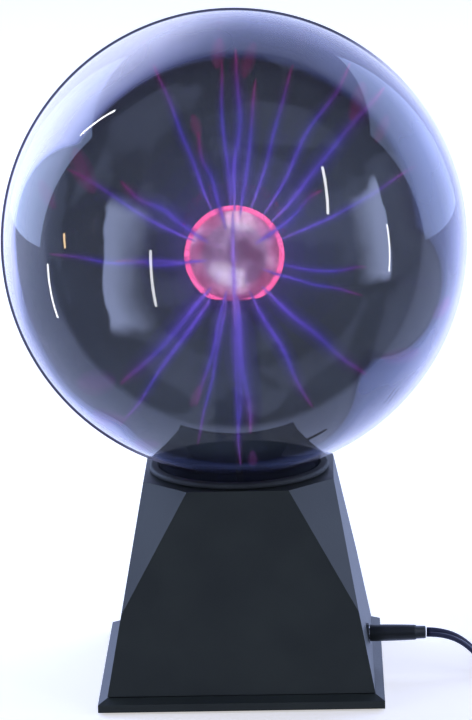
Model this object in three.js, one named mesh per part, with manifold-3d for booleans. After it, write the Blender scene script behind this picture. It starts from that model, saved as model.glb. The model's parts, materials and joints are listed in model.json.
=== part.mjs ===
// Plasma ball: a gas-filled glass globe with a central electrode, standing on a black tower base,
// with its low-voltage power lead plugged into the right-hand side.
// Millimetres, +Z up. The origin is on the surface that the feet stand on, under the globe's axis.
// The front faces -Y, and the power lead leaves along +X.
import * as THREE from "three";
import { ConvexGeometry } from "three/addons/geometries/ConvexGeometry.js";
import { mergeVertices } from "three/addons/utils/BufferGeometryUtils.js";
import Module from "manifold-3d";

// ---------------------------------------------------------------- driving dimensions
const GAP = 0.3; // clearance between neighbouring pieces
const FOOT_STAND = 1; // how far the rubber feet stand below the plinth

const PLINTH_HALF = 61; // half of the plinth's side
const PLINTH_EDGE = 3.4; // height of its upright edge
const PLINTH_BEVEL = 2.1; // height of the bevel above that edge
const PLINTH_FLOOR = 2.6; // thickness of its bottom

const TOWER_BOTTOM = FOOT_STAND + PLINTH_EDGE + PLINTH_BEVEL + GAP;
const TOWER_TOP = 92;
const TOWER_BOTTOM_HALF = 57;
const TOWER_TOP_HALF = 40.9;
const TOWER_TOP_FLAT = 21.7; // half length of each straight side of the octagonal top
const FACET_APEX = 40.8; // height at which a corner facet begins
const WALL = 2.6;

const GLOBE_RADIUS = 100;
const GLOBE_Z = 192;
const GLASS = 1.8; // wall of the globe
const NECK_RADIUS = 35;
const NECK_FILLET = 5; // radius of the curve between globe and neck
const NECK_FOOT = 68; // height of the neck's lower rim

const BULB_RADIUS = 21.5;
const BULB_Z = 186;
const BULB_MOUTH = 13; // radius where the bulb turns into the stem
const STEM_RADIUS = 10;
const STEM_WALL = 1.2;

const CRADLE_TOP = 65;
const CRADLE_THICK = 4;
const CRADLE_REACH = 41.5; // distance of the cradle's screws from the axis

const BOARD_Z = 10.9; // underside of the circuit board
const BOARD_THICK = 1.6;

const SWITCH_Z = 30;
const SWITCH_TRAVEL = 4;

const JACK_Y = -10;
const JACK_Z = 19;
const JACK_NOSE = 55.2; // x of the socket's outer rim
const PLUG_END = 80; // x where the cord leaves the plug

const CORD_WIDTH = 4.3;
const CORD_THICK = 2.3;
const COIL_X = 141.5;
const COIL_Y = 8;
const COIL_INNER = 16.6;
const COIL_OUTER = 35;
const COIL_BOTTOM = 0.9;
const COIL_TOP = 10.3;

const ADAPTER_X = 156; // the face that carries the mains pins
const ADAPTER_Y = 50; // the end that the cord enters
const ADAPTER = new THREE.Vector3(30, 60, 40);
const ADAPTER_CORD_X = 174;
const ADAPTER_CORD_Z = 12;

// ---------------------------------------------------------------- materials
const finish = (color, roughness, metalness = 0, extra = {}) => () =>
  new THREE.MeshStandardMaterial({ color, roughness, metalness, ...extra });
const BLACK_ABS = finish("#262a29", 0.55);
const BLACK_PVC = finish("#23282a", 0.6);
const RUBBER = finish("#17191a", 0.85);
const FOAM = finish("#3a3d40", 0.95);
const GLASS_SMOKE = finish("#5d6a86", 0.08, 0, { transparent: true, opacity: 0.35 });
const GLASS_CLEAR = finish("#b07a9c", 0.1, 0, { transparent: true, opacity: 0.5 });
const METAL_FILM = finish("#8c7d8c", 0.25, 0.9);
const STEEL = finish("#a7abaf", 0.35, 1);
const NICKEL = finish("#c2c4c6", 0.25, 1);
const BRASS = finish("#b9975a", 0.3, 1);
const SILICONE = finish("#a33a34", 0.6);
const FERRITE = finish("#3c3b3d", 0.7);
const RESIN = finish("#1f2226", 0.4);
const ENAMEL_WIRE = finish("#9a5a2c", 0.35, 0.6);
const FIBREGLASS = finish("#4f6b3a", 0.5);
const EPOXY = finish("#1b1c1e", 0.45);
const ALUMINIUM = finish("#9ea2a6", 0.4, 1);
const CAN_SLEEVE = finish("#27335a", 0.4);
const NYLON = finish("#c9cbc8", 0.5);

// ---------------------------------------------------------------- solids
const wasm = await Module();
wasm.setup();

// A closed geometry as a manifold-3d solid: only its positions are kept, so that corners merge.
function solidOf(geometry) {
  const bare = geometry.clone();
  bare.deleteAttribute("normal");
  bare.deleteAttribute("uv");
  const merged = mergeVertices(bare, 1e-4);
  const vertProperties = merged.attributes.position.array;
  const triVerts = new Uint32Array(merged.index.array);
  return new wasm.Manifold(new wasm.Mesh({ numProp: 3, vertProperties, triVerts }));
}

function geometryOf(solid) {
  const { vertProperties, triVerts } = solid.getMesh();
  const geometry = new THREE.BufferGeometry();
  geometry.setAttribute("position", new THREE.BufferAttribute(vertProperties, 3));
  geometry.setIndex(new THREE.BufferAttribute(triVerts, 1));
  geometry.computeVertexNormals();
  return geometry;
}

const combine = (how, first, others) =>
  geometryOf(others.reduce((made, other) => made[how](solidOf(other)), solidOf(first)));
const join = (first, ...others) => combine("add", first, others);
const cut = (first, ...others) => combine("subtract", first, others);
const overlap = (first, ...others) => combine("intersect", first, others);

const box = (x0, x1, y0, y1, z0, z1) =>
  new THREE.BoxGeometry(x1 - x0, y1 - y0, z1 - z0).translate(
    (x0 + x1) / 2,
    (y0 + y1) / 2,
    (z0 + z1) / 2,
  );

// An upright round bar.
const bar = (radius, z0, z1, x = 0, y = 0, sides = 16) =>
  new THREE.CylinderGeometry(radius, radius, z1 - z0, sides)
    .rotateX(Math.PI / 2)
    .translate(x, y, (z0 + z1) / 2);

// A shape turned about the Z axis from [radius, height] pairs.
const turned = (pairs, sides = 32) =>
  new THREE.LatheGeometry(pairs.map(([r, z]) => new THREE.Vector2(r, z)), sides).rotateX(Math.PI / 2);

// A shape turned about a line along +X through (y, z), from [radius, x] pairs.
const turnedAlongX = (pairs, y, z, sides = 20) =>
  turned(pairs, sides)
    .rotateY(Math.PI / 2)
    .translate(0, y, z);

// Points of a round stretch in a profile, with angles in degrees from the +radius direction.
function arc(radius, centreR, centreZ, from, to, steps) {
  return Array.from({ length: steps + 1 }, (_, i) => {
    const angle = THREE.MathUtils.degToRad(from + ((to - from) * i) / steps);
    return [centreR + radius * Math.cos(angle), centreZ + radius * Math.sin(angle)];
  });
}

// An outline in X and Z, extruded along Y from y0 to y1.
function slab(outline, y0, y1) {
  const shape = new THREE.Shape(outline.map(([x, z]) => new THREE.Vector2(x, z)));
  return new THREE.ExtrudeGeometry(shape, { depth: y1 - y0, bevelEnabled: false })
    .rotateX(Math.PI / 2)
    .translate(0, y1, 0);
}

// A tube along a curve through hand-chosen points. Its section's half sizes are across and along
// the normal that the curve starts with.
function tube(points, halfNormal, halfAcross, steps, sides = 8) {
  const curve = new THREE.CatmullRomCurve3(points.map((p) => new THREE.Vector3(...p)));
  const section = new THREE.Shape(
    Array.from({ length: sides }, (_, i) => {
      const angle = ((i + 0.5) * 2 * Math.PI) / sides;
      const reach = 1 / Math.cos(Math.PI / sides);
      return new THREE.Vector2(
        halfNormal * reach * Math.cos(angle),
        halfAcross * reach * Math.sin(angle),
      );
    }),
  );
  return new THREE.ExtrudeGeometry(section, { steps, bevelEnabled: false, extrudePath: curve });
}

const plasmaBall = new THREE.Group();

function piece(name, geometry, material, parent = plasmaBall) {
  const mesh = new THREE.Mesh(geometry, material());
  mesh.name = name;
  parent.add(mesh);
  return mesh;
}

// The four corners of a rectangle centred on the axis, numbered anticlockwise from the front right.
const corners = (x, y) => [[x, -y], [x, y], [-x, y], [-x, -y]];

// A pan-head screw, head at z 0 and below, shank pointing up.
function screw(name, x, y, z, headRadius, headThick, shankRadius, length, turn = 0) {
  const head = bar(headRadius, -headThick, 0, 0, 0, 12);
  const slot = box(-headRadius, headRadius, -0.35, 0.35, -headThick - 1, -headThick * 0.5);
  const body = join(head, bar(shankRadius, -headThick / 2, length, 0, 0, 8));
  const mesh = piece(name, cut(body, slot), STEEL);
  mesh.position.set(x, y, z);
  mesh.rotation.x = turn;
  return mesh;
}

// ---------------------------------------------------------------- tower housing
const TOWER_LEAN = Math.atan2(TOWER_BOTTOM_HALF - TOWER_TOP_HALF, TOWER_TOP - TOWER_BOTTOM);

// Half width of the tower at height z, its walls moved inwards by inset.
const towerHalf = (z, inset = 0) =>
  TOWER_BOTTOM_HALF - (z - TOWER_BOTTOM) * Math.tan(TOWER_LEAN) - inset / Math.cos(TOWER_LEAN);

// Where a corner facet cuts height z: x + y is this much on it. It is a straight line in z.
function facetSum(z, inset = 0) {
  const topSum = TOWER_TOP_HALF + TOWER_TOP_FLAT;
  const fall = (2 * towerHalf(FACET_APEX) - topSum) / (TOWER_TOP - FACET_APEX);
  return topSum + (TOWER_TOP - z) * fall - inset * Math.hypot(Math.SQRT2, fall);
}

// A square frustum whose four corners are cut by triangular facets that widen to an octagonal top.
function towerForm(inset, bottomZ, topZ) {
  const spare = (z) => facetSum(z, inset) - 2 * towerHalf(z, inset);
  const slope = (spare(TOWER_TOP) - spare(FACET_APEX)) / (TOWER_TOP - FACET_APEX);
  const apex = FACET_APEX - spare(FACET_APEX) / slope;
  const top = towerHalf(topZ, inset);
  const flat = facetSum(topZ, inset) - top;
  const rows = [
    [bottomZ, towerHalf(bottomZ, inset), towerHalf(bottomZ, inset)],
    [apex, towerHalf(apex, inset), towerHalf(apex, inset)],
    [topZ, top, flat],
    [topZ, flat, top],
  ];
  return new ConvexGeometry(
    rows.flatMap(([z, x, y]) => corners(x, y).map(([cx, cy]) => new THREE.Vector3(cx, cy, z))),
  );
}

// The frame of the rear wall at the switch: local +Y is the wall's outward normal, and the wall's
// outer face is local y 0.
const rearWall = new THREE.Group();
rearWall.position.set(0, towerHalf(SWITCH_Z), SWITCH_Z);
rearWall.rotation.x = TOWER_LEAN;
rearWall.updateMatrix();
plasmaBall.add(rearWall);
const onRearWall = (geometry) => geometry.applyMatrix4(rearWall.matrix);

const SWITCH_SLOT_X = 4.9;
const SWITCH_SLOT_Z = 2.4;
const SWITCH_SCREW_X = 10.5;
const POST_HALF = 47.5; // place of the four housing screws
const POST_TOP = 24;
const BOSS_RADIUS = 3.4;
const cradlePlaces = corners(CRADLE_REACH / Math.SQRT2, CRADLE_REACH / Math.SQRT2);
const postPlaces = corners(POST_HALF, POST_HALF);

const housingShell = cut(
  towerForm(0, TOWER_BOTTOM, TOWER_TOP),
  towerForm(WALL, TOWER_BOTTOM - 1, TOWER_TOP - WALL),
);
// A square block round a corner post: reach towards the middle, outReach towards the corner.
function cornerBlock([x, y], reach, outReach, z0, z1) {
  const shift = reach - outReach;
  const block = box(x - reach, x + outReach, y - reach, y + outReach, z0, z1);
  return block.translate(x < 0 ? shift : 0, y < 0 ? shift : 0, 0);
}
const housingPosts = postPlaces.map((place) => cornerBlock(place, 4, 12, TOWER_BOTTOM + 0.1, POST_TOP));
const housingBosses = cradlePlaces.map(([x, y]) =>
  bar(BOSS_RADIUS, CRADLE_TOP + GAP, TOWER_TOP - 1, x, y, 12),
);
const housingCore = towerForm(WALL / 2, TOWER_BOTTOM + 0.1, TOWER_TOP - WALL / 2);
const ribs = overlap(join(housingPosts[0], ...housingPosts.slice(1), ...housingBosses), housingCore);
piece(
  "tower_housing",
  cut(
    join(housingShell, ribs),
    bar(NECK_RADIUS + 1, NECK_FOOT, TOWER_TOP + 1, 0, 0, 40),
    ...postPlaces.map(([x, y]) => bar(1.8, TOWER_BOTTOM - 1, POST_TOP - 3, x, y, 8)),
    ...cradlePlaces.map(([x, y]) => bar(1.6, CRADLE_TOP - 1, 80, x, y, 8)),
    turnedAlongX([[0, 44], [4.8, 44], [4.8, 62], [0, 62]], JACK_Y, JACK_Z),
    onRearWall(box(-SWITCH_SLOT_X, SWITCH_SLOT_X, -5, 1, -SWITCH_SLOT_Z, SWITCH_SLOT_Z)),
    onRearWall(bar(1.5, -1, 5, -SWITCH_SCREW_X, 0, 8).rotateX(Math.PI / 2)),
    onRearWall(bar(1.5, -1, 5, SWITCH_SCREW_X, 0, 8).rotateX(Math.PI / 2)),
  ),
  BLACK_ABS,
);

// ---------------------------------------------------------------- plinth, feet and screws
const FOOT_RADIUS = 6;
const FOOT_RECESS = 1;
const footPlaces = corners(49, 32);
const boardPlaces = corners(36, 27);
const LIP_HALF = 53.3;
const LIP_TOP = 9.4;
const plinthTopZ = TOWER_BOTTOM - GAP;

function plinthForm() {
  const bevelHalf = PLINTH_HALF - 4;
  const rows = [
    [FOOT_STAND, PLINTH_HALF],
    [FOOT_STAND + PLINTH_EDGE, PLINTH_HALF],
    [plinthTopZ, bevelHalf],
  ];
  return new ConvexGeometry(
    rows.flatMap(([z, half]) => corners(half, half).map(([x, y]) => new THREE.Vector3(x, y, z))),
  );
}

const plinthFloorZ = FOOT_STAND + PLINTH_FLOOR;
const pocketHalf = LIP_HALF - 1.6;
const lip = cut(
  box(-LIP_HALF, LIP_HALF, -LIP_HALF, LIP_HALF, plinthFloorZ - 1, LIP_TOP),
  box(-pocketHalf, pocketHalf, -pocketHalf, pocketHalf, 0, LIP_TOP + 1),
);
// The lip and the pocket give way to the housing's corner posts.
const postClearance = postPlaces.map((place) => cornerBlock(place, 6, 12, plinthTopZ - 0.1, LIP_TOP + 1));
const plinthPads = postPlaces.map(([x, y]) => bar(5, plinthFloorZ - 1, plinthTopZ - 0.1, x, y, 12));
const ventSlots = [-1, 1].flatMap((side) =>
  [0, 1, 2, 3, 4].map((i) => box(side * 22 - 9, side * 22 + 9, i * 7 - 15.5, i * 7 - 12.5, 0, 5)),
);
piece(
  "base_plinth",
  cut(
    join(
      cut(
        join(
          cut(plinthForm(), box(-pocketHalf, pocketHalf, -pocketHalf, pocketHalf, plinthFloorZ, 12)),
          lip,
        ),
        ...postClearance,
      ),
      ...plinthPads,
      ...boardPlaces.map(([x, y]) => bar(3.2, plinthFloorZ - 1, BOARD_Z - GAP, x, y, 12)),
    ),
    ...footPlaces.map(([x, y]) => bar(FOOT_RADIUS + GAP, 0, FOOT_STAND + FOOT_RECESS + GAP, x, y)),
    ...postPlaces.map(([x, y]) => bar(3.6, 0, FOOT_STAND + 1.6, x, y)),
    ...postPlaces.map(([x, y]) => bar(1.8, 0, 12, x, y, 8)),
    ...boardPlaces.map(([x, y]) => bar(1.5, plinthFloorZ + 1, 12, x, y, 8)),
    ...ventSlots,
  ),
  BLACK_ABS,
);

footPlaces.forEach(([x, y], i) => {
  const side = FOOT_RADIUS;
  const top = FOOT_STAND + FOOT_RECESS;
  const foot = turned([[0, 0], [side - 0.6, 0], [side, 0.6], [side, top], [0, top]], 16);
  piece(`foot_${i + 1}`, foot, RUBBER).position.set(x, y, 0);
});
postPlaces.forEach(([x, y], i) => {
  screw(`base_screw_${i + 1}`, x, y, FOOT_STAND + 1.3, 3, 1.2, 1.45, 14);
});

// ---------------------------------------------------------------- globe, collar and cradle
// Outer profile of globe and neck, from the pole down; wall moves it inwards. The fillet's centre
// lies outside the glass, so the inner skin's fillet is larger by the wall.
function globeSkin(wall, steps) {
  const filletReach = GLOBE_RADIUS + NECK_FILLET;
  const filletR = NECK_RADIUS + NECK_FILLET;
  const touch = THREE.MathUtils.radToDeg(Math.acos(filletR / filletReach));
  const filletZ = GLOBE_Z - Math.sqrt(filletReach ** 2 - filletR ** 2);
  return [
    ...arc(GLOBE_RADIUS - wall, 0, GLOBE_Z, 90, -touch, steps),
    ...arc(NECK_FILLET + wall, filletR, filletZ, 180 - touch, 180, 3).slice(1),
    [NECK_RADIUS - wall, NECK_FOOT],
  ];
}
const onAxis = ([r, z]) => [Math.abs(r) < 1e-6 ? 0 : r, z];
const globeProfile = [...globeSkin(0, 16), ...globeSkin(GLASS, 12).reverse()].map(onAxis);
piece("glass_globe", turned(globeProfile.reverse(), 36), GLASS_SMOKE);

const collarIn = NECK_RADIUS + GAP;
const collarZ = TOWER_TOP + GAP;
const collarProfile = [
  [collarIn, collarZ],
  [collarIn + 3.6, collarZ],
  [collarIn + 3.6, collarZ + 1.2],
  [collarIn + 2.4, collarZ + 2.4],
  [collarIn, collarZ + 2.4],
  [collarIn, collarZ],
];
piece("collar_ring", turned(collarProfile, 36), RUBBER);

const padProfile = [[29, 65.3], [36, 65.3], [36, 67], [29, 67], [29, 65.3]];
piece("neck_pad", turned(padProfile, 24), FOAM);
const cradleLow = CRADLE_TOP - CRADLE_THICK;
piece(
  "neck_cradle",
  cut(
    join(
      bar(38, cradleLow, CRADLE_TOP, 0, 0, 28),
      ...cradlePlaces.map(([x, y]) => bar(5, cradleLow, CRADLE_TOP, x, y, 12)),
    ),
    bar(14, cradleLow - 1, CRADLE_TOP + 1, 0, 0, 16),
    ...cradlePlaces.map(([x, y]) => bar(1.8, cradleLow - 1, CRADLE_TOP + 1, x, y, 8)),
  ),
  BLACK_ABS,
);
cradlePlaces.forEach(([x, y], i) => {
  screw(`cradle_screw_${i + 1}`, x, y, cradleLow - GAP, 2.8, 1.6, 1.2, 14);
});

// ---------------------------------------------------------------- electrode
// The bulb and its stem are one blown glass piece; the stem flares to meet the globe's neck.
function electrodeSkin(wall, steps) {
  const mouth = THREE.MathUtils.radToDeg(Math.acos(BULB_MOUTH / BULB_RADIUS));
  return [
    ...arc(BULB_RADIUS - wall, 0, BULB_Z, 90, -mouth, steps),
    [STEM_RADIUS + 0.6 - wall, 165.5],
    [STEM_RADIUS - wall, 161],
    [STEM_RADIUS - wall, 86],
    [STEM_RADIUS + 2 - wall, 79],
    [STEM_RADIUS + 8, 73 - wall],
    [NECK_RADIUS - GLASS - 0.6, 70 - wall],
  ];
}
const electrodeProfile = [...electrodeSkin(0, 8), ...electrodeSkin(STEM_WALL, 7).reverse()].map(onAxis);
piece("electrode_glass", turned(electrodeProfile.reverse(), 20), GLASS_CLEAR);

const liningOuter = BULB_RADIUS - STEM_WALL - GAP;
const liningProfile = [
  ...arc(liningOuter, 0, BULB_Z, 90, -48, 7),
  ...arc(liningOuter - 0.6, 0, BULB_Z, -48, 90, 6),
].map(onAxis);
piece("electrode_lining", turned(liningProfile.reverse(), 20), METAL_FILM);

const ROD_RADIUS = 1.6;
const ROD_BOTTOM = 62;
const CUP_Z = 172;
const cupProfile = [
  [0, ROD_BOTTOM],
  [ROD_RADIUS, ROD_BOTTOM],
  [ROD_RADIUS, CUP_Z],
  [5, CUP_Z + 1.5],
  [5, CUP_Z + 5],
  [4.2, CUP_Z + 5],
  [4.2, CUP_Z + 2.5],
  [0, CUP_Z + 2.5],
];
piece("contact_rod", turned(cupProfile, 16), BRASS);

// A light spring in the rod's cup, whose top coil presses on the lining.
const SPRING_TURNS = 5;
class Helix extends THREE.Curve {
  getPoint(t, target = new THREE.Vector3()) {
    const angle = t * SPRING_TURNS * 2 * Math.PI;
    const bottom = CUP_Z + 3.3;
    const top = BULB_Z + liningOuter - 1.9;
    return target.set(3.4 * Math.cos(angle), 3.4 * Math.sin(angle), bottom + (top - bottom) * t);
  }
}
const SPRING_WIRE_RADIUS = 0.4;
const WIRE_SIDES = 5;
const wireSection = new THREE.Shape(
  Array.from({ length: WIRE_SIDES }, (_, i) => {
    const angle = (i * 2 * Math.PI) / WIRE_SIDES;
    return new THREE.Vector2(SPRING_WIRE_RADIUS * Math.cos(angle), SPRING_WIRE_RADIUS * Math.sin(angle));
  }),
);
const springPath = new Helix();
const springOptions = { steps: SPRING_TURNS * 9, bevelEnabled: false, extrudePath: springPath };
piece("contact_spring", new THREE.ExtrudeGeometry(wireSection, springOptions), STEEL);

// ---------------------------------------------------------------- circuit board and its parts
const boardTop = BOARD_Z + BOARD_THICK;
const onBoard = boardTop + GAP;
piece(
  "circuit_board",
  cut(
    box(-42, 50.5, -34, 34, BOARD_Z, boardTop),
    ...boardPlaces.map(([x, y]) => bar(1.6, BOARD_Z - 1, boardTop + 1, x, y, 8)),
  ),
  FIBREGLASS,
);
boardPlaces.forEach(([x, y], i) => {
  screw(`board_screw_${i + 1}`, x, y, onBoard, 2.6, 1.4, 1.15, 6, Math.PI);
});

// The step-up transformer: two ferrite U cores face each other, one leg in each winding.
const transformer = new THREE.Group();
transformer.position.set(-12, 4, onBoard);
plasmaBall.add(transformer);
const CORE_LEG = 8;
const LEG_X = 13; // distance of each leg's centre from the middle
const CORE_HALF = LEG_X + CORE_LEG / 2;
const CORE_TALL = 21;
const innerX = LEG_X - CORE_LEG / 2;
const coreOutline = [
  [-CORE_HALF, 0],
  [CORE_HALF, 0],
  [CORE_HALF, CORE_TALL],
  [innerX, CORE_TALL],
  [innerX, CORE_LEG],
  [-innerX, CORE_LEG],
  [-innerX, CORE_TALL],
  [-CORE_HALF, CORE_TALL],
];
const coreHalf = slab(coreOutline, -CORE_LEG / 2, CORE_LEG / 2);
piece("ferrite_core_lower", coreHalf, FERRITE, transformer);
const upperCore = piece("ferrite_core_upper", coreHalf.clone(), FERRITE, transformer);
upperCore.rotation.y = Math.PI;
upperCore.position.z = 2 * CORE_TALL + GAP;

function winding(name, outer, z0, z1, legX, material) {
  const bore = 6.1;
  const profile = [[bore, z0], [outer, z0], [outer, z1], [bore, z1], [bore, z0]];
  piece(name, turned(profile, 24), material, transformer).position.x = legX;
}
winding("high_voltage_winding", 16, 9.5, 33, -LEG_X, RESIN);
winding("primary_winding", 9.5, 12, 30, LEG_X, ENAMEL_WIRE);

// The high-voltage lead rises from the winding to the contact rod.
const leadRoute = [
  [-36, 4, 46.2],
  [-36, 4, 50],
  [-34.6, 3.8, 54],
  [-30, 3.2, 57],
  [-22, 2.2, 57.6],
  [-12, 1, 57.4],
  [-5, 0.4, 57.8],
  [-1.3, 0.1, 59],
  [0, 0, 61.2],
];
piece("high_voltage_lead", tube(leadRoute, 1.4, 1.4, 16, 6), SILICONE);

const SINK = { x: 6, y: 16, wide: 26, deep: 12, tall: 26, fin: 1.6 };
const sinkMiddle = SINK.x + SINK.wide / 2;
const fins = [0, 1, 2, 3, 4].map((i) => {
  const x = SINK.x + (i * (SINK.wide - SINK.fin)) / 4;
  return box(x, x + SINK.fin, SINK.y, SINK.y + SINK.deep, onBoard, onBoard + SINK.tall);
});
piece(
  "heat_sink",
  cut(
    join(box(SINK.x, SINK.x + SINK.wide, SINK.y, SINK.y + 2.2, onBoard, onBoard + SINK.tall), ...fins),
    bar(1.7, -3, 3, 0, 0, 8).rotateX(Math.PI / 2).translate(sinkMiddle, SINK.y + 1, onBoard + 20),
  ),
  ALUMINIUM,
);
piece(
  "drive_transistor",
  cut(
    join(
      box(sinkMiddle - 5, sinkMiddle + 5, SINK.y - 4.8, SINK.y - 0.4, onBoard + 4, onBoard + 13.5),
      box(sinkMiddle - 5, sinkMiddle + 5, SINK.y - 1.7, SINK.y - GAP, onBoard + 4, onBoard + 23),
      ...[-2.5, 0, 2.5].map((x) =>
        box(sinkMiddle + x - 0.4, sinkMiddle + x + 0.4, SINK.y - 3, SINK.y - 2.4, onBoard, onBoard + 5),
      ),
    ),
    bar(1.7, -3, 3, 0, 0, 8).rotateX(Math.PI / 2).translate(sinkMiddle, SINK.y - 1, onBoard + 20),
  ),
  EPOXY,
);
screw("transistor_screw", sinkMiddle, SINK.y - 1.7 - GAP, onBoard + 20, 2.7, 1.6, 1.35, 5, -Math.PI / 2);

const capacitors = [[24, -22, 5, 18], [10, -24, 4, 13]];
capacitors.forEach(([x, y, radius, tall], i) => {
  const shoulder = radius - 0.6;
  const profile = [[0, 0], [radius, 0], [radius, tall - 0.6], [shoulder, tall], [0, tall]];
  piece(`capacitor_${i + 1}`, turned(profile, 20), CAN_SLEEVE).position.set(x, y, onBoard);
});

const socketBore = 3.1;
piece(
  "dc_socket",
  join(
    cut(
      join(
        box(39, 50.4, JACK_Y - 4.5, JACK_Y + 4.5, onBoard, JACK_Z + 4.6),
        turnedAlongX([[0, 50], [4.5, 50], [4.5, JACK_NOSE], [0, JACK_NOSE]], JACK_Y, JACK_Z, 16),
      ),
      turnedAlongX([[0, 43.5], [socketBore, 43.5], [socketBore, 57], [0, 57]], JACK_Y, JACK_Z, 16),
    ),
    turnedAlongX([[0, 42], [1, 42], [1, 53.5], [0.5, 54.2], [0, 54.2]], JACK_Y, JACK_Z, 12),
  ),
  BLACK_PVC,
);

// ---------------------------------------------------------------- rear slide switch
const earHalf = 13;
const switchHalfZ = 4.5;
const behindWall = -WALL - GAP;
piece(
  "switch_body",
  cut(
    join(
      box(-8, 8, -10, behindWall, -switchHalfZ, switchHalfZ),
      box(-earHalf, earHalf, behindWall - 1.2, behindWall, -switchHalfZ, switchHalfZ),
    ),
    box(-5.2, 5.2, -6.5, 0, -2.4, 2.4),
    bar(1.2, -1, 6, -SWITCH_SCREW_X, 0, 8).rotateX(Math.PI / 2),
    bar(1.2, -1, 6, SWITCH_SCREW_X, 0, 8).rotateX(Math.PI / 2),
  ),
  STEEL,
  rearWall,
);
[-1, 1].forEach((side, i) => {
  const mesh = screw(`switch_screw_${i + 1}`, side * SWITCH_SCREW_X, GAP, 0, 2.3, 1.2, 0.85, 6, Math.PI / 2);
  rearWall.add(mesh);
});
const knobX = -SWITCH_TRAVEL / 2;
const grooves = [-1.2, 0, 1.2].map((x) => box(knobX + x - 0.2, knobX + x + 0.2, 2.5, 4, -3, 3));
const knob = box(knobX - 2.5, knobX + 2.5, -6.1, 3, -2, 2);
piece("switch_slider", cut(knob, ...grooves), BLACK_ABS, rearWall);
[-1, 1].forEach((side, i) => {
  const x = side * 5;
  const wire = [[x, 41.8, 28], [x, 39.4, 27.6], [x, 36.8, 25.4], [x, 34.4, 20], [x, 32.8, 13.7]];
  piece(`switch_wire_${i + 1}`, tube(wire, 0.7, 0.7, 8, 6), SILICONE);
});

// ---------------------------------------------------------------- power lead
const plugProfile = [
  [0, 61.8],
  [3.05, 61.8],
  [3.05, JACK_NOSE + GAP],
  [3.65, JACK_NOSE + GAP],
  [3.65, 62],
  [3.45, 70],
  [3.25, 74.5],
  [2.85, 76],
  [2.75, PLUG_END],
  [0, PLUG_END],
];
piece("dc_plug_body", turnedAlongX(plugProfile, JACK_Y, JACK_Z, 20), BLACK_PVC);
const barrelProfile = [[1.35, 45.6], [2.75, 45.6], [2.75, 61.5], [1.35, 61.5], [1.35, 45.6]];
piece("dc_plug_barrel", turnedAlongX(barrelProfile, JACK_Y, JACK_Z, 16), NICKEL);

const cordRoute = [
  [PLUG_END + GAP, -10, 19],
  [84, -10, 18.8],
  [88, -10, 18.1],
  [92, -10.1, 16.8],
  [96, -10.3, 14.6],
  [99.7, -10.7, 11.5],
  [103, -11.3, 7.9],
  [106.3, -12.2, 4.7],
  [110.2, -13.4, 2.6],
];
piece("power_cord", tube(cordRoute, CORD_THICK / 2, CORD_WIDTH / 2, 14), BLACK_PVC);

const coilProfile = [
  [COIL_INNER, COIL_BOTTOM + 2],
  [COIL_INNER + 2, COIL_BOTTOM],
  [COIL_OUTER - 2, COIL_BOTTOM],
  [COIL_OUTER, COIL_BOTTOM + 2],
  [COIL_OUTER, COIL_TOP - 2],
  [COIL_OUTER - 2, COIL_TOP],
  [COIL_INNER + 2, COIL_TOP],
  [COIL_INNER, COIL_TOP - 2],
  [COIL_INNER, COIL_BOTTOM + 2],
];
piece("cord_coil", turned(coilProfile, 30), BLACK_PVC).position.set(COIL_X, COIL_Y, 0);

const cordTail = [
  [ADAPTER_CORD_X, 26.6, 6.4],
  [ADAPTER_CORD_X, 29.2, 7.7],
  [ADAPTER_CORD_X, 31.8, 9.4],
  [ADAPTER_CORD_X, 34.6, 11.1],
  [ADAPTER_CORD_X, 37.6, ADAPTER_CORD_Z],
];
piece("power_cord_tail", tube(cordTail, CORD_WIDTH / 2, CORD_THICK / 2, 6), BLACK_PVC);

// A releasable tie round the coil's section.
const TIE_WIDE = 4;
const TIE_THICK = 0.6;
const tie = new THREE.Group();
tie.position.set(COIL_X, COIL_Y, 0);
tie.rotation.z = THREE.MathUtils.degToRad(200);
plasmaBall.add(tie);
const tieIn = COIL_INNER - GAP;
const tieOut = COIL_OUTER + GAP;
const tieTop = COIL_TOP + GAP;
piece(
  "cable_tie",
  join(
    cut(
      box(tieIn - TIE_THICK, tieOut + TIE_THICK, -TIE_WIDE / 2, TIE_WIDE / 2, 0, tieTop + TIE_THICK),
      box(tieIn, tieOut, -TIE_WIDE, TIE_WIDE, TIE_THICK, tieTop),
    ),
    box(26, 32, -3, 3, tieTop + 0.1, tieTop + 3.4),
  ),
  NYLON,
  tie,
);

// ---------------------------------------------------------------- mains adapter
function roundedBlock(x0, x1, y0, y1, z0, z1, chamfer) {
  const points = [];
  for (const [x, inX] of [[x0, 1], [x1, -1]])
    for (const [y, inY] of [[y0, 1], [y1, -1]])
      for (const [z, inZ] of [[z0, 1], [z1, -1]])
        points.push(
          new THREE.Vector3(x + inX * chamfer, y + inY * chamfer, z),
          new THREE.Vector3(x + inX * chamfer, y, z + inZ * chamfer),
          new THREE.Vector3(x, y + inY * chamfer, z + inZ * chamfer),
        );
  return new ConvexGeometry(points);
}
const adapterEndY = ADAPTER_Y + ADAPTER.y;
const plateThick = 3;
const caseX = ADAPTER_X + plateThick + GAP;
const pinPlaces = [-9.5, 9.5].map((y) => ADAPTER_Y + ADAPTER.y * 0.45 + y);
const pinZ = ADAPTER.z / 2;
const PIN_HOLE_RADIUS = 2.3;
function pinHole(y) {
  const start = ADAPTER_X - 1;
  const end = caseX + 3;
  const profile = [[0, start], [PIN_HOLE_RADIUS, start], [PIN_HOLE_RADIUS, end], [0, end]];
  return turnedAlongX(profile, y, pinZ, 16);
}
piece(
  "adapter_case",
  cut(
    roundedBlock(caseX, ADAPTER_X + ADAPTER.x, ADAPTER_Y, adapterEndY, 0, ADAPTER.z, 1.5),
    ...pinPlaces.map(pinHole),
  ),
  BLACK_ABS,
);
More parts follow.
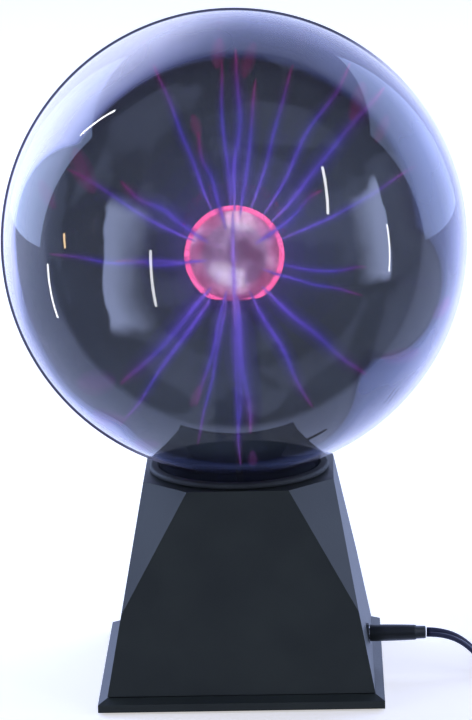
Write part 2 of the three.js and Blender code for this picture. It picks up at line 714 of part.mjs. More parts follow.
piece(
  "adapter_plate",
  cut(
    roundedBlock(ADAPTER_X, caseX - GAP, ADAPTER_Y, adapterEndY, 0, ADAPTER.z, 1),
    ...pinPlaces.map(pinHole),
  ),
  BLACK_ABS,
);
pinPlaces.forEach((y, i) => {
  const start = ADAPTER_X - 19;
  const profile = [[0, start], [1.4, start], [2, start + 1], [2, caseX + 2.5], [0, caseX + 2.5]];
  piece(`adapter_pin_${i + 1}`, turnedAlongX(profile, y, pinZ, 16), NICKEL);
});
const reliefProfile = [
  [0, 0],
  [2.9, 0],
  [3.3, 3],
  [4, 9],
  [4.6, 11.6],
  [0, 11.6],
];
const relief = piece("adapter_strain_relief", turned(reliefProfile, 14), BLACK_PVC);
relief.rotation.x = -Math.PI / 2;
relief.position.set(ADAPTER_CORD_X, ADAPTER_Y - GAP - 11.7, ADAPTER_CORD_Z);

export default plasmaBall;
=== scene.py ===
"""Looks of a plasma ball: a glass globe with a glowing electrode on a black tower base, and its lead."""

import json
import math

import bmesh
import bpy
import numpy as np
from bpy.props import FloatProperty, PointerProperty
from mathutils import Matrix, Vector


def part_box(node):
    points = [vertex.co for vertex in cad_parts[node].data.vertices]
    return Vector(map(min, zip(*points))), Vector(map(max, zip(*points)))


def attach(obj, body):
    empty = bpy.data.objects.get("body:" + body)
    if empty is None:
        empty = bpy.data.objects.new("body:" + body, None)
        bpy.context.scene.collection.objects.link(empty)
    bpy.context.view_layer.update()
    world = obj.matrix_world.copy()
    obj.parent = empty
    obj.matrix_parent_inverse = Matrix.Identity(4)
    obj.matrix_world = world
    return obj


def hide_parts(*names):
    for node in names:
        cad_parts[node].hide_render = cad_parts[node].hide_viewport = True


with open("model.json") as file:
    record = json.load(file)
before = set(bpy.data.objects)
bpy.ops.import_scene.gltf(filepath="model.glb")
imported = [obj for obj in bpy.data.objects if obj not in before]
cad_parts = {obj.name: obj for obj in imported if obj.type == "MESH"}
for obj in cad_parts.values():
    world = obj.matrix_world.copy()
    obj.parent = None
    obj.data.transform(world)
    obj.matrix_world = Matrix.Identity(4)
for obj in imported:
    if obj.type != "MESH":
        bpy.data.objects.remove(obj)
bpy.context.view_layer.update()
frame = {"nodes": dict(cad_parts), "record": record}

bl_info = {
    "name": "Plasma Ball",
    "version": (1, 0, 0),
    "blender": (4, 5, 0),
    "location": "3D View > Sidebar > Plasma Ball",
    "description": "Builds the finished surfaces and materials of a plasma ball around its frame",
    "category": "Add Mesh",
}

MM = 0.001
BASE = "base"
SWITCH = "switch"
LEAD = "power_lead"

# Driving places, from the frame.
GLOBE_RADIUS = 100 * MM
GLOBE_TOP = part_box("glass_globe")[1].z
GLOBE_Z = GLOBE_TOP - GLOBE_RADIUS
NECK_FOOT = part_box("glass_globe")[0].z
NECK_RADIUS = 35 * MM
NECK_FILLET = 5 * MM
BULB_RADIUS = 21.5 * MM
BULB_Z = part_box("electrode_glass")[1].z - BULB_RADIUS
PLUG_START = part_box("dc_plug_body")[0].x
PLUG_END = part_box("dc_plug_body")[1].x
PLUG_Y = (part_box("dc_plug_body")[0].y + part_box("dc_plug_body")[1].y) / 2
PLUG_Z = (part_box("dc_plug_body")[0].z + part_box("dc_plug_body")[1].z) / 2


# ---------------------------------------------------------------- settings

class PlasmaBallSettings(bpy.types.PropertyGroup):
    """Sizes and colours that a user would change."""

    glass_wall: FloatProperty(
        name="Glass wall",
        description="Thickness of the globe's wall",
        default=1.8 * MM,
        unit="LENGTH",
    )
    streamer_radius: FloatProperty(
        name="Streamer radius",
        description="Radius of the bright core of a streamer in the gas",
        default=0.55 * MM,
        unit="LENGTH",
    )
    edge_round: FloatProperty(
        name="Edge rounding",
        description="Radius on the edges of the moulded plastic",
        default=0.6 * MM,
        unit="LENGTH",
    )
    cord_width: FloatProperty(
        name="Cord width",
        description="Width of the flat twin lead",
        default=4.3 * MM,
        unit="LENGTH",
    )
    glow: FloatProperty(
        name="Glow",
        description="Strength of the light given by the gas",
        default=1.0,
        min=0.0,
    )


def settings():
    return bpy.context.scene.plasma_ball


# ---------------------------------------------------------------- colour and nodes

def linear(hex_colour):
    """sRGB hex to linear RGBA.

    Each channel c becomes ((c + 0.055) / 1.055) ** 2.4, or c / 12.92 when dark.
    """
    channels = np.array([int(hex_colour[i : i + 2], 16) for i in (1, 3, 5)]) / 255
    bright = ((channels + 0.055) / 1.055) ** 2.4
    return (*np.where(channels <= 0.04045, channels / 12.92, bright).tolist(), 1.0)


def add_node(tree, kind, options=(), inputs=(), stops=()):
    """Adds a node. options are its properties; inputs are its sockets, each a value or a socket to link.

    stops are a colour ramp's (position, sRGB hex or grey value) pairs.
    """
    node = tree.nodes.new(kind)
    for name, value in dict(options).items():
        setattr(node, name, value)
    for name, value in dict(inputs).items():
        if isinstance(value, bpy.types.NodeSocket):
            tree.links.new(value, node.inputs[name])
        else:
            node.inputs[name].default_value = value
    for number, (position, shade) in enumerate(stops):
        elements = node.color_ramp.elements
        element = elements[number] if number < len(elements) else elements.new(position)
        element.position = position
        element.color = linear(shade) if isinstance(shade, str) else (shade, shade, shade, 1.0)
    return node


def start_material(name):
    """An empty material, its node tree and the socket with the place on the object, in metres."""
    material = bpy.data.materials.new(name)
    material.use_nodes = True
    tree = material.node_tree
    tree.nodes.clear()
    return material, tree, add_node(tree, "ShaderNodeTexCoord").outputs["Object"]


def finish_material(tree, shader):
    add_node(tree, "ShaderNodeOutputMaterial", inputs={"Surface": shader})


def grained(name, shades, mottle, grain, relief, roughness, shader, stretch=(1, 1, 1)):
    """A solid finish: two shades mottled over a broad scale, a fine grain in the relief and roughness.

    mottle, grain and relief are lengths in metres, roughness is a (low, high) pair, and shader holds the
    values that are the same all over.
    """
    material, tree, place = start_material(name)
    stretched = add_node(
        tree, "ShaderNodeMapping", inputs={"Vector": place, "Scale": stretch}
    ).outputs["Vector"]
    broad = add_node(
        tree, "ShaderNodeTexNoise", inputs={"Vector": place, "Scale": 1 / mottle, "Detail": 3.0}
    ).outputs["Fac"]
    fine = add_node(
        tree, "ShaderNodeTexNoise", inputs={"Vector": stretched, "Scale": 1 / grain, "Detail": 2.0}
    ).outputs["Fac"]
    colour = add_node(
        tree, "ShaderNodeValToRGB", inputs={"Fac": broad}, stops=[(0.3, shades[0]), (0.7, shades[1])]
    ).outputs["Color"]
    rough = add_node(
        tree,
        "ShaderNodeMapRange",
        inputs={"Value": fine, "To Min": roughness[0], "To Max": roughness[1]},
    ).outputs["Result"]
    bump = add_node(
        tree, "ShaderNodeBump", inputs={"Height": fine, "Distance": relief, "Strength": 1.0}
    ).outputs["Normal"]
    values = {"Base Color": colour, "Roughness": rough, "Normal": bump}
    values.update(shader)
    principled = add_node(tree, "ShaderNodeBsdfPrincipled", inputs=values)
    finish_material(tree, principled.outputs["BSDF"])
    return material


# ---------------------------------------------------------------- materials

def black_abs():
    """Moulded ABS from a spark-eroded tool: a fine matt grain that softens every reflection."""
    return grained(
        "moulded_black_abs",
        ("#1d231d", "#252b24"),
        mottle=22 * MM,
        grain=0.7 * MM,  # real grit is 0.2 mm; coarser here so that it shows
        relief=0.035 * MM,
        roughness=(0.42, 0.56),
        shader={"IOR": 1.54},
    )


def black_pvc():
    """Soft black PVC: smoother than the housing, with a satin highlight."""
    return grained(
        "satin_black_pvc",
        ("#1b2020", "#262b2b"),
        mottle=9 * MM,
        grain=0.9 * MM,
        relief=0.02 * MM,
        roughness=(0.38, 0.5),
        shader={"IOR": 1.53},
    )


def cord_pvc():
    """Extruded PVC insulation: blue-black, glossy along its length, with faint draw lines."""
    return grained(
        "extruded_cord_pvc",
        ("#20243e", "#2a2f4c"),
        mottle=14 * MM,
        grain=0.8 * MM,
        relief=0.015 * MM,
        roughness=(0.3, 0.42),
        shader={"IOR": 1.53},
    )


def black_rubber():
    """Moulded rubber: the darkest and dullest surface, with a slight bloom."""
    return grained(
        "moulded_rubber",
        ("#202423", "#2a2e2d"),
        mottle=6 * MM,
        grain=0.6 * MM,
        relief=0.03 * MM,
        roughness=(0.6, 0.8),
        shader={"IOR": 1.52},
    )


def foam():
    """Closed-cell foam: grey cells about a millimetre across that swallow the light."""
    return grained(
        "closed_cell_foam",
        ("#2c2e31", "#44474b"),
        mottle=3 * MM,
        grain=1.1 * MM,
        relief=0.25 * MM,
        roughness=(0.85, 0.98),
        shader={"IOR": 1.45},
    )


def plated_steel():
    """Zinc-plated steel: bright, with turning marks a third of a millimetre apart."""
    return grained(
        "zinc_plated_steel",
        ("#9a9fa3", "#b9bdbf"),
        mottle=3 * MM,
        grain=0.33 * MM,
        relief=0.01 * MM,
        roughness=(0.25, 0.4),
        shader={"Metallic": 1.0},
        stretch=(1, 1, 6),
    )


def nickel():
    """Bright nickel plate: a near mirror with fine handling scratches along its length."""
    return grained(
        "bright_nickel",
        ("#b9bbbc", "#cfd0cf"),
        mottle=4 * MM,
        grain=0.3 * MM,
        relief=0.004 * MM,
        roughness=(0.12, 0.24),
        shader={"Metallic": 1.0},
        stretch=(0.2, 1, 1),
    )


def brass():
    """Drawn brass rod: warm yellow, dulled in patches by handling."""
    return grained(
        "drawn_brass",
        ("#a5823f", "#c9a55f"),
        mottle=5 * MM,
        grain=0.4 * MM,
        relief=0.006 * MM,
        roughness=(0.22, 0.38),
        shader={"Metallic": 1.0},
        stretch=(1, 1, 0.15),
    )


def aluminium():
    """Extruded aluminium: pale grey with die lines that run up the fins."""
    return grained(
        "extruded_aluminium",
        ("#979b9f", "#adb1b4"),
        mottle=8 * MM,
        grain=0.5 * MM,
        relief=0.012 * MM,
        roughness=(0.32, 0.48),
        shader={"Metallic": 1.0},
        stretch=(1, 1, 0.06),
    )


def silicone():
    """Silicone rubber insulation: translucent brick red with a soft sheen."""
    return grained(
        "silicone_insulation",
        ("#8f2f2a", "#a63c34"),
        mottle=7 * MM,
        grain=0.8 * MM,
        relief=0.01 * MM,
        roughness=(0.4, 0.55),
        shader={"IOR": 1.41, "Subsurface Weight": 0.1, "Subsurface Scale": 0.5 * MM},
    )


def ferrite():
    """Sintered ferrite: charcoal, gritty and dull like unglazed ceramic."""
    return grained(
        "sintered_ferrite",
        ("#2f2f31", "#434345"),
        mottle=3 * MM,
        grain=0.5 * MM,
        relief=0.05 * MM,
        roughness=(0.6, 0.8),
        shader={"IOR": 1.9},
    )


def potting_resin():
    """Cast epoxy resin: glossy black with a slightly wavy meniscus."""
    return grained(
        "cast_epoxy_resin",
        ("#15171a", "#1d1f24"),
        mottle=8 * MM,
        grain=5 * MM,
        relief=0.12 * MM,
        roughness=(0.12, 0.24),
        shader={"IOR": 1.55},
    )


def enamelled_wire():
    """Enamelled copper winding: orange-brown glints in rings 0.6 mm apart, wire beside wire."""
    material, tree, place = start_material("enamelled_copper_winding")
    pitch = 0.6 * MM
    wave_scale = 2 * math.pi / (20 * pitch)  # a wave node's phase is 20 times the scaled place, in radians
    turns = add_node(
        tree,
        "ShaderNodeTexWave",
        {"wave_type": "BANDS", "bands_direction": "Z"},
        {"Vector": place, "Scale": wave_scale},
    ).outputs["Fac"]
    # The bright band on each turn is a painted glint and the dark band between turns painted shade.
    colour = add_node(
        tree, "ShaderNodeValToRGB", inputs={"Fac": turns}, stops=[(0.1, "#4a210c"), (0.8, "#b4672f")]
    ).outputs["Color"]
    bump = add_node(
        tree, "ShaderNodeBump", inputs={"Height": turns, "Distance": 0.25 * MM}
    ).outputs["Normal"]
    values = {"Base Color": colour, "Metallic": 0.7, "Roughness": 0.3, "Normal": bump}
    finish_material(
        tree, add_node(tree, "ShaderNodeBsdfPrincipled", inputs=values).outputs["BSDF"]
    )
    return material


def circuit_laminate():
    """Fibreglass laminate under green solder resist: darker resist over a branching pattern of tracks."""
    material, tree, place = start_material("fibreglass_laminate")
    tracks = add_node(
        tree,
        "ShaderNodeTexVoronoi",
        {"feature": "DISTANCE_TO_EDGE", "distance": "MANHATTAN"},
        {"Vector": place, "Scale": 1 / (7 * MM)},
    ).outputs["Distance"]
    colour = add_node(
        tree, "ShaderNodeValToRGB", inputs={"Fac": tracks}, stops=[(0.08, "#3f6b3c"), (0.12, "#274a2b")]
    ).outputs["Color"]
    values = {"Base Color": colour, "Roughness": 0.32, "IOR": 1.55, "Coat Weight": 0.4}
    finish_material(
        tree, add_node(tree, "ShaderNodeBsdfPrincipled", inputs=values).outputs["BSDF"]
    )
    return material


def moulded_epoxy():
    """Transistor epoxy: flat black, faintly pitted from the mould."""
    return grained(
        "moulded_epoxy",
        ("#141516", "#1d1e1f"),
        mottle=3 * MM,
        grain=0.4 * MM,
        relief=0.02 * MM,
        roughness=(0.45, 0.6),
        shader={"IOR": 1.55},
    )


def shrink_sleeve():
    """Heat-shrunk PVC sleeve: glossy dark blue, slightly rippled where it gripped the can."""
    return grained(
        "shrink_sleeve",
        ("#1d2848", "#2a3863"),
        mottle=5 * MM,
        grain=2.5 * MM,
        relief=0.03 * MM,
        roughness=(0.22, 0.34),
        shader={"IOR": 1.53},
    )


def nylon():
    """Natural nylon: milky white with light scattering just under the skin."""
    return grained(
        "natural_nylon",
        ("#c3c6c2", "#d4d6d2"),
        mottle=3 * MM,
        grain=0.6 * MM,
        relief=0.02 * MM,
        roughness=(0.4, 0.5),
        shader={"IOR": 1.53, "Subsurface Weight": 0.2, "Subsurface Scale": 1 * MM},
    )


def globe_glass_painted_reflections():
    """Blown glass round a dim gas: dark and clear face on, with a painted pale lavender reflection where it
    is seen edge on.

    The room's reflections are painted into the colour. Dark painted reflections lie at set directions from
    the centre, the painted pale reflection is paler on a sector on the upper left, a dark painted outline
    runs round the upper left, soft clouds of painted dark reflection lie over it all, and the part next to
    the base is darkest with a painted reflection of the black tower.
    """
    material, tree, place = start_material("blown_globe_glass")
    grazing = add_node(tree, "ShaderNodeLayerWeight", inputs={"Blend": 0.5}).outputs["Facing"]
    cloud = add_node(
        tree, "ShaderNodeTexNoise", inputs={"Vector": place, "Scale": 1 / (70 * MM), "Detail": 2.0}
    ).outputs["Fac"]

    def side(direction, low, high):
        """How far a place lies towards a direction from the globe's middle, from 0 at low to 1 at high."""
        offset = add_node(
            tree,
            "ShaderNodeVectorMath",
            {"operation": "SUBTRACT"},
            {0: place, 1: (0.0, 0.0, GLOBE_Z)},
        ).outputs["Vector"]
        reach = add_node(
            tree, "ShaderNodeVectorMath", {"operation": "DOT_PRODUCT"}, {0: offset, 1: tuple(direction)}
        ).outputs["Value"]
        return add_node(
            tree,
            "ShaderNodeMapRange",
            {"interpolation_type": "SMOOTHSTEP"},
            {
                "Value": reach,
                "From Min": low * GLOBE_RADIUS,
                "From Max": high * GLOBE_RADIUS,
            },
        ).outputs["Result"]

    # Painted dark reflections of the room: direction, where they start and where they are full, as parts of
    # the radius.
    dark_reflections = [
        ((0.74, -0.66, -0.12), 0.955, 0.985),
        ((-0.75, -0.62, 0.20), 0.93, 0.97),
        ((-0.74, -0.66, -0.12), 0.94, 0.98),
        ((-0.62, -0.66, -0.42), 0.95, 0.985),
        ((0.0, -0.77, -0.64), 0.83, 0.91),
    ]
    facing = grazing
    for direction, start, full in dark_reflections:
        patch = side(Vector(direction).normalized(), start, full)
        keep = add_node(
            tree,
            "ShaderNodeMapRange",
            inputs={"Value": patch, "To Min": 1.0, "To Max": 0.55},
        ).outputs["Result"]
        facing = add_node(
            tree, "ShaderNodeMath", {"operation": "MULTIPLY"}, {0: facing, 1: keep}
        ).outputs[0]

    # Face-on tones, then the painted pale reflection towards the edge: pale is the brighter painted
    # reflection for the upper left, grey the dimmer one elsewhere.
    shades = [(0.0, "#2b333c"), (0.3, "#293037"), (0.37, "#131628")]
    pale = add_node(
        tree,
        "ShaderNodeValToRGB",
        inputs={"Fac": facing},
        stops=shades + [(0.40, "#8289b6"), (0.50, "#c0c2e4"), (0.64, "#eeeefa"), (0.84, "#f6f2fc")],
    ).outputs["Color"]
    grey = add_node(
        tree,
        "ShaderNodeValToRGB",
        inputs={"Fac": facing},
        stops=shades + [(0.40, "#3d4668"), (0.56, "#59648f"), (0.70, "#8f98c6"), (0.84, "#ccd0ee")],
    ).outputs["Color"]
    # The upper left sector takes the paler painted reflection of a window.
    upper_left = side((-0.80, 0.0, 0.60), 0.48, 0.92)
    rim = add_node(
        tree, "ShaderNodeMix", {"data_type": "RGBA"}, {0: upper_left, 6: grey, 7: pale}
    ).outputs[2]
    # A dark painted outline along the edge on the upper left, a painted reflection.
    outline = add_node(
        tree, "ShaderNodeValToRGB", inputs={"Fac": grazing}, stops=[(0.835, 0.0), (0.865, 1.0)]
    ).outputs["Color"]
    outlined = side((-0.80, 0.0, 0.45), -0.45, 0.1)
    line = add_node(
        tree, "ShaderNodeMath", {"operation": "MULTIPLY"}, {0: outline, 1: outlined}
    ).outputs[0]
    rim = add_node(
        tree, "ShaderNodeMix", {"data_type": "RGBA"}, {0: line, 6: rim, 7: linear("#221238")}
    ).outputs[2]
    # Painted dark reflection of the black tower on the part next to the base.
    tower_reflection = side((0.0, 0.0, -1.0), 0.87, 0.93)
    colour = add_node(
        tree, "ShaderNodeMix", {"data_type": "RGBA"}, {0: tower_reflection, 6: rim, 7: linear("#23272e")}
    ).outputs[2]
    # Soft clouds of painted dark reflection of the room over the whole colour.
    shadow = add_node(
        tree, "ShaderNodeValToRGB", inputs={"Fac": cloud}, stops=[(0.38, "#5a5c66"), (0.62, "#ffffff")]
    ).outputs["Color"]
    dimmed = add_node(
        tree,
        "ShaderNodeMix",
        {"data_type": "RGBA", "blend_type": "MULTIPLY"},
        {0: 0.55, 6: colour, 7: shadow},
    ).outputs[2]
    solid = [(0.0, 0.84), (0.37, 0.87)]
    pale_alpha = add_node(
        tree,
        "ShaderNodeValToRGB",
        inputs={"Fac": facing},
        stops=solid + [(0.41, 0.62), (0.50, 0.42), (0.64, 0.28), (0.84, 0.2)],
    ).outputs["Color"]
    grey_alpha = add_node(
        tree,
        "ShaderNodeValToRGB",
        inputs={"Fac": facing},
        stops=solid + [(0.41, 0.88), (0.56, 0.82), (0.70, 0.66), (0.84, 0.42)],
    ).outputs["Color"]
    edge_roughness = add_node(
        tree, "ShaderNodeMapRange", inputs={"Value": line, "To Min": 0.03, "To Max": 1.0}
    ).outputs["Result"]
    clear = add_node(
        tree, "ShaderNodeMix", {"data_type": "RGBA"}, {0: upper_left, 6: grey_alpha, 7: pale_alpha}
    ).outputs[2]
    alpha = add_node(
        tree, "ShaderNodeMath", {"operation": "MAXIMUM"}, {0: clear, 1: line}
    ).outputs[0]
    values = {
        "Base Color": dimmed,
        "Roughness": edge_roughness,
        "IOR": 1.5,
        "Alpha": alpha,
    }
    finish_material(
        tree, add_node(tree, "ShaderNodeBsdfPrincipled", inputs=values).outputs["BSDF"]
    )
    return material


def clear_inner_glass():
    """The globe's inner skin: almost invisible, it only doubles the brightest reflections."""
    material, tree, place = start_material("clear_inner_glass")
    streak = add_node(
        tree, "ShaderNodeTexNoise", inputs={"Vector": place, "Scale": 1 / (30 * MM), "Detail": 1.0}
    ).outputs["Fac"]
    rough = add_node(
        tree, "ShaderNodeMapRange", inputs={"Value": streak, "To Min": 0.02, "To Max": 0.08}
    ).outputs["Result"]
    values = {"Base Color": linear("#cfd4ee"), "Roughness": rough, "IOR": 1.5, "Alpha": 0.04}
    finish_material(
        tree, add_node(tree, "ShaderNodeBsdfPrincipled", inputs=values).outputs["BSDF"]
    )
    return material


def lit_bulb_glass():
    """The bulb's glass under the discharge: a pink sheath, thin in the middle and solid at the outline."""
    material, tree, place = start_material("lit_bulb_glass")
    facing = add_node(tree, "ShaderNodeLayerWeight", inputs={"Blend": 0.5}).outputs["Facing"]
    mottle = add_node(
        tree, "ShaderNodeTexNoise", inputs={"Vector": place, "Scale": 1 / (9 * MM), "Detail": 2.0}
    ).outputs["Fac"]
    colour = add_node(
        tree, "ShaderNodeValToRGB", inputs={"Fac": mottle}, stops=[(0.3, "#ff5a92"), (0.75, "#f070ae")]
    ).outputs["Color"]
    alpha = add_node(
        tree,
        "ShaderNodeValToRGB",
        inputs={"Fac": facing},
        stops=[(0.0, 0.03), (0.21, 0.05), (0.28, 0.17), (0.5, 0.22), (0.56, 0.5), (0.6, 0.95)],
    ).outputs["Color"]
    values = {
        "Base Color": colour,
        "Roughness": 0.06,
        "IOR": 1.5,
        "Alpha": alpha,
        "Emission Color": colour,
        "Emission Strength": 7.5 * settings().glow,
    }
    finish_material(
        tree, add_node(tree, "ShaderNodeBsdfPrincipled", inputs=values).outputs["BSDF"]
    )
    return material


def clear_stem_glass():
    """Clear drawn glass tube: seen by its edges and by a faint violet of the gas behind it."""
    material, tree, place = start_material("drawn_stem_glass")
    facing = add_node(tree, "ShaderNodeLayerWeight", inputs={"Blend": 0.5}).outputs["Facing"]
    drawn = add_node(
        tree, "ShaderNodeMapping", inputs={"Vector": place, "Scale": (1, 1, 0.2)}
    ).outputs["Vector"]
    streak = add_node(
        tree, "ShaderNodeTexNoise", inputs={"Vector": drawn, "Scale": 1 / (14 * MM), "Detail": 1.0}
    ).outputs["Fac"]
    colour = add_node(
        tree, "ShaderNodeValToRGB", inputs={"Fac": streak}, stops=[(0.3, "#5a4f7c"), (0.7, "#7a6c9c")]
    ).outputs["Color"]
    alpha = add_node(
        tree, "ShaderNodeValToRGB", inputs={"Fac": facing}, stops=[(0.0, 0.1), (0.6, 0.2), (0.9, 0.6)]
    ).outputs["Color"]
    values = {"Base Color": colour, "Roughness": 0.05, "IOR": 1.5, "Alpha": alpha}
    finish_material(
        tree, add_node(tree, "ShaderNodeBsdfPrincipled", inputs=values).outputs["BSDF"]
    )
    return material


def metal_film():
    """Sprayed metal film inside the bulb: silvery, the discharge's light on it painted as a glow, with a
    mottle of painted pale reflections and darker, duller blots.
    """
    material, tree, place = start_material("sprayed_metal_film")
    mottle = add_node(
        tree, "ShaderNodeTexNoise", inputs={"Vector": place, "Scale": 1 / (17 * MM), "Detail": 1.5}
    ).outputs["Fac"]
    # Painted reflections: the mottle runs from darker blots to pale painted reflections of the room.
    colour = add_node(
        tree,
        "ShaderNodeValToRGB",
        inputs={"Fac": mottle},
        stops=[(0.36, "#6d5266"), (0.48, "#a08aac"), (0.62, "#e6e0f6")],
    ).outputs["Color"]
    rough = add_node(
        tree, "ShaderNodeMapRange", inputs={"Value": mottle, "To Min": 0.22, "To Max": 0.08}
    ).outputs["Result"]
    # The discharge's light on the film is painted as emission in these colours.
    values = {
        "Base Color": colour,
        "Metallic": 0.8,
        "Roughness": rough,
        "Emission Color": colour,
        "Emission Strength": 5.4 * settings().glow,
    }
    finish_material(
        tree, add_node(tree, "ShaderNodeBsdfPrincipled", inputs=values).outputs["BSDF"]
    )
    return material


def ionised_gas(name, solidity, brightness):
    """Glowing gas: violet near the electrode, turning pink where a streamer spreads on the glass.

    The colour follows the distance from the globe's centre, and each layer is only partly solid, so that
    nested layers add up to a soft-edged thread.
    """
    material, tree, place = start_material(name)
    offset = add_node(
        tree,
        "ShaderNodeVectorMath",
        {"operation": "SUBTRACT"},
        {0: place, 1: (0.0, 0.0, BULB_Z)},
    ).outputs["Vector"]
    reach = add_node(
        tree, "ShaderNodeVectorMath", {"operation": "LENGTH"}, {0: offset}
    ).outputs["Value"]
    far = add_node(
        tree,
        "ShaderNodeMapRange",
        inputs={"Value": reach, "From Min": BULB_RADIUS, "From Max": GLOBE_RADIUS},
    ).outputs["Result"]
    flicker = add_node(
        tree, "ShaderNodeTexNoise", inputs={"Vector": place, "Scale": 1 / (18 * MM), "Detail": 2.0}
    ).outputs["Fac"]
    colour = add_node(
        tree,
        "ShaderNodeValToRGB",
        inputs={"Fac": far},
        stops=[(0.0, "#9f76ea"), (0.15, "#6a50d6"), (0.62, "#5544c0"), (0.82, "#7446a8"), (1.0, "#b04a8c")],
    ).outputs["Color"]
    uneven = add_node(
        tree,
        "ShaderNodeMapRange",
        inputs={"Value": flicker, "To Min": 0.6 * brightness, "To Max": 1.4 * brightness},
    ).outputs["Result"]
    fading = add_node(
        tree, "ShaderNodeMapRange", inputs={"Value": far, "To Min": 1.0, "To Max": 0.45}
    ).outputs["Result"]
    strength = add_node(
        tree, "ShaderNodeMath", {"operation": "MULTIPLY"}, {0: uneven, 1: fading}
    ).outputs[0]
    light = add_node(
        tree, "ShaderNodeEmission", inputs={"Color": colour, "Strength": strength}
    ).outputs["Emission"]
    clear = add_node(tree, "ShaderNodeBsdfTransparent").outputs["BSDF"]
    mixed = add_node(
        tree, "ShaderNodeMixShader", inputs={0: solidity, 1: clear, 2: light}
    ).outputs["Shader"]
    finish_material(tree, mixed)
    return material


# ---------------------------------------------------------------- meshes

def put_mesh(name, points, faces, materials, face_materials=None, smooth=True):
    """A mesh object at the origin from an (n, 3) array of points and a list of faces."""
    mesh = bpy.data.meshes.new(name)
    mesh.from_pydata(points.reshape(-1, 3).tolist(), [], faces)
    mesh.polygons.foreach_set("use_smooth", np.full(len(mesh.polygons), smooth))
    for material in materials:
        mesh.materials.append(material)
    if face_materials is not None:
        mesh.polygons.foreach_set("material_index", np.asarray(face_materials, np.int32))
    mesh.update()
    piece = bpy.data.objects.new(name, mesh)
    bpy.context.scene.collection.objects.link(piece)
    return piece


def grid_faces(rows, columns, wrap_rows=False):
    """Quads over a grid of points whose columns wrap round, and whose rows do too if asked."""
    last = rows if wrap_rows else rows - 1
    row, column = np.meshgrid(np.arange(last), np.arange(columns), indexing="ij")
    after = (row + 1) % rows
    beside = (column + 1) % columns
    corners = [
        row * columns + column,
        row * columns + beside,
        after * columns + beside,
        after * columns + column,
    ]
    return np.stack([c.ravel() for c in corners], axis=1).tolist()


def turned(name, profile, sides, materials, bands=None, centre=(0.0, 0.0, 0.0), axis="Z"):
    """A surface of revolution: (r, z) at angle a goes to (r cos a, r sin a, z), about Z or along X.

    A profile end with r = 0 is closed by one pole point; a profile that ends where it starts wraps.
    bands gives the material of each stretch between profile points.
    """
    profile = np.asarray(profile, float)
    wraps = bool(np.allclose(profile[0], profile[-1]))
    if wraps:
        profile = profile[:-1]
    first_pole = not wraps and profile[0, 0] < 1e-9
    last_pole = not wraps and profile[-1, 0] < 1e-9
    ring = profile[int(first_pole) : len(profile) - int(last_pole)]
    angle = np.linspace(0, 2 * np.pi, sides, endpoint=False)
    radius, height = ring[:, :1], ring[:, 1:2]
    points = np.stack(
        [radius * np.cos(angle), radius * np.sin(angle), height + 0 * angle], axis=-1
    ).reshape(-1, 3)
    faces = grid_faces(len(ring), sides, wraps)
    steps = len(ring) if wraps else len(ring) - 1
    band = np.repeat(np.arange(steps) + int(first_pole), sides)
    around = np.arange(sides)
    beside = (around + 1) % sides
    if first_pole:
        pole = len(points)
        points = np.vstack([points, [[0, 0, profile[0, 1]]]])
        faces += np.stack([beside, around, np.full(sides, pole)], axis=1).tolist()
        band = np.concatenate([band, np.zeros(sides, int)])
    if last_pole:
        pole = len(points)
        start = (len(ring) - 1) * sides
        points = np.vstack([points, [[0, 0, profile[-1, 1]]]])
        faces += np.stack([start + around, start + beside, np.full(sides, pole)], axis=1).tolist()
        band = np.concatenate([band, np.full(sides, len(profile) - 2)])
    if axis == "X":
        points = points[:, [2, 0, 1]]
    points = points + np.asarray(centre, float)
    chosen = None if bands is None else np.asarray(bands)[band]
    piece = put_mesh(name, points, faces, materials, chosen)
    face_outwards(piece)
    return piece


def face_outwards(piece):
    """Turns every face of a closed mesh outwards."""
    work = bmesh.new()
    work.from_mesh(piece.data)
    bmesh.ops.recalc_face_normals(work, faces=work.faces)
    work.to_mesh(piece.data)
    work.free()
    piece.data.update()


def arc(radius, centre, start, end, count):
    """Points on a circle of that radius about centre, from start to end degrees."""
    angle = np.radians(np.linspace(start, end, count))
    return np.stack([centre[0] + radius * np.cos(angle), centre[1] + radius * np.sin(angle)], axis=1)


def smooth_path(points, spacing):
    """A Catmull-Rom curve through the points, at about equal spacing.

    Between two points p1 and p2 with neighbours p0 and p3 it is the cubic that leaves p1 along
    (p2 - p0) / 2 and reaches p2 along (p3 - p1) / 2.
    """
    points = np.asarray(points, float)
    padded = np.vstack([2 * points[0] - points[1], points, 2 * points[-1] - points[-2]])
    p0, p1, p2, p3 = (padded[i : len(padded) - 3 + i, None] for i in range(4))
    t = np.linspace(0, 1, 24, endpoint=False)[None, :, None]
    fine = 0.5 * (
        2 * p1
        + (p2 - p0) * t
        + (2 * p0 - 5 * p1 + 4 * p2 - p3) * t**2
        + (3 * p1 - p0 - 3 * p2 + p3) * t**3
    )
    fine = np.vstack([fine.reshape(-1, 3), points[-1:]])
    along = np.concatenate([[0], np.cumsum(np.linalg.norm(np.diff(fine, axis=0), axis=1))])
    count = max(int(round(along[-1] / spacing)), 2) + 1
    where = np.linspace(0, along[-1], count)
    return np.stack([np.interp(where, along, fine[:, i]) for i in range(3)], axis=1)


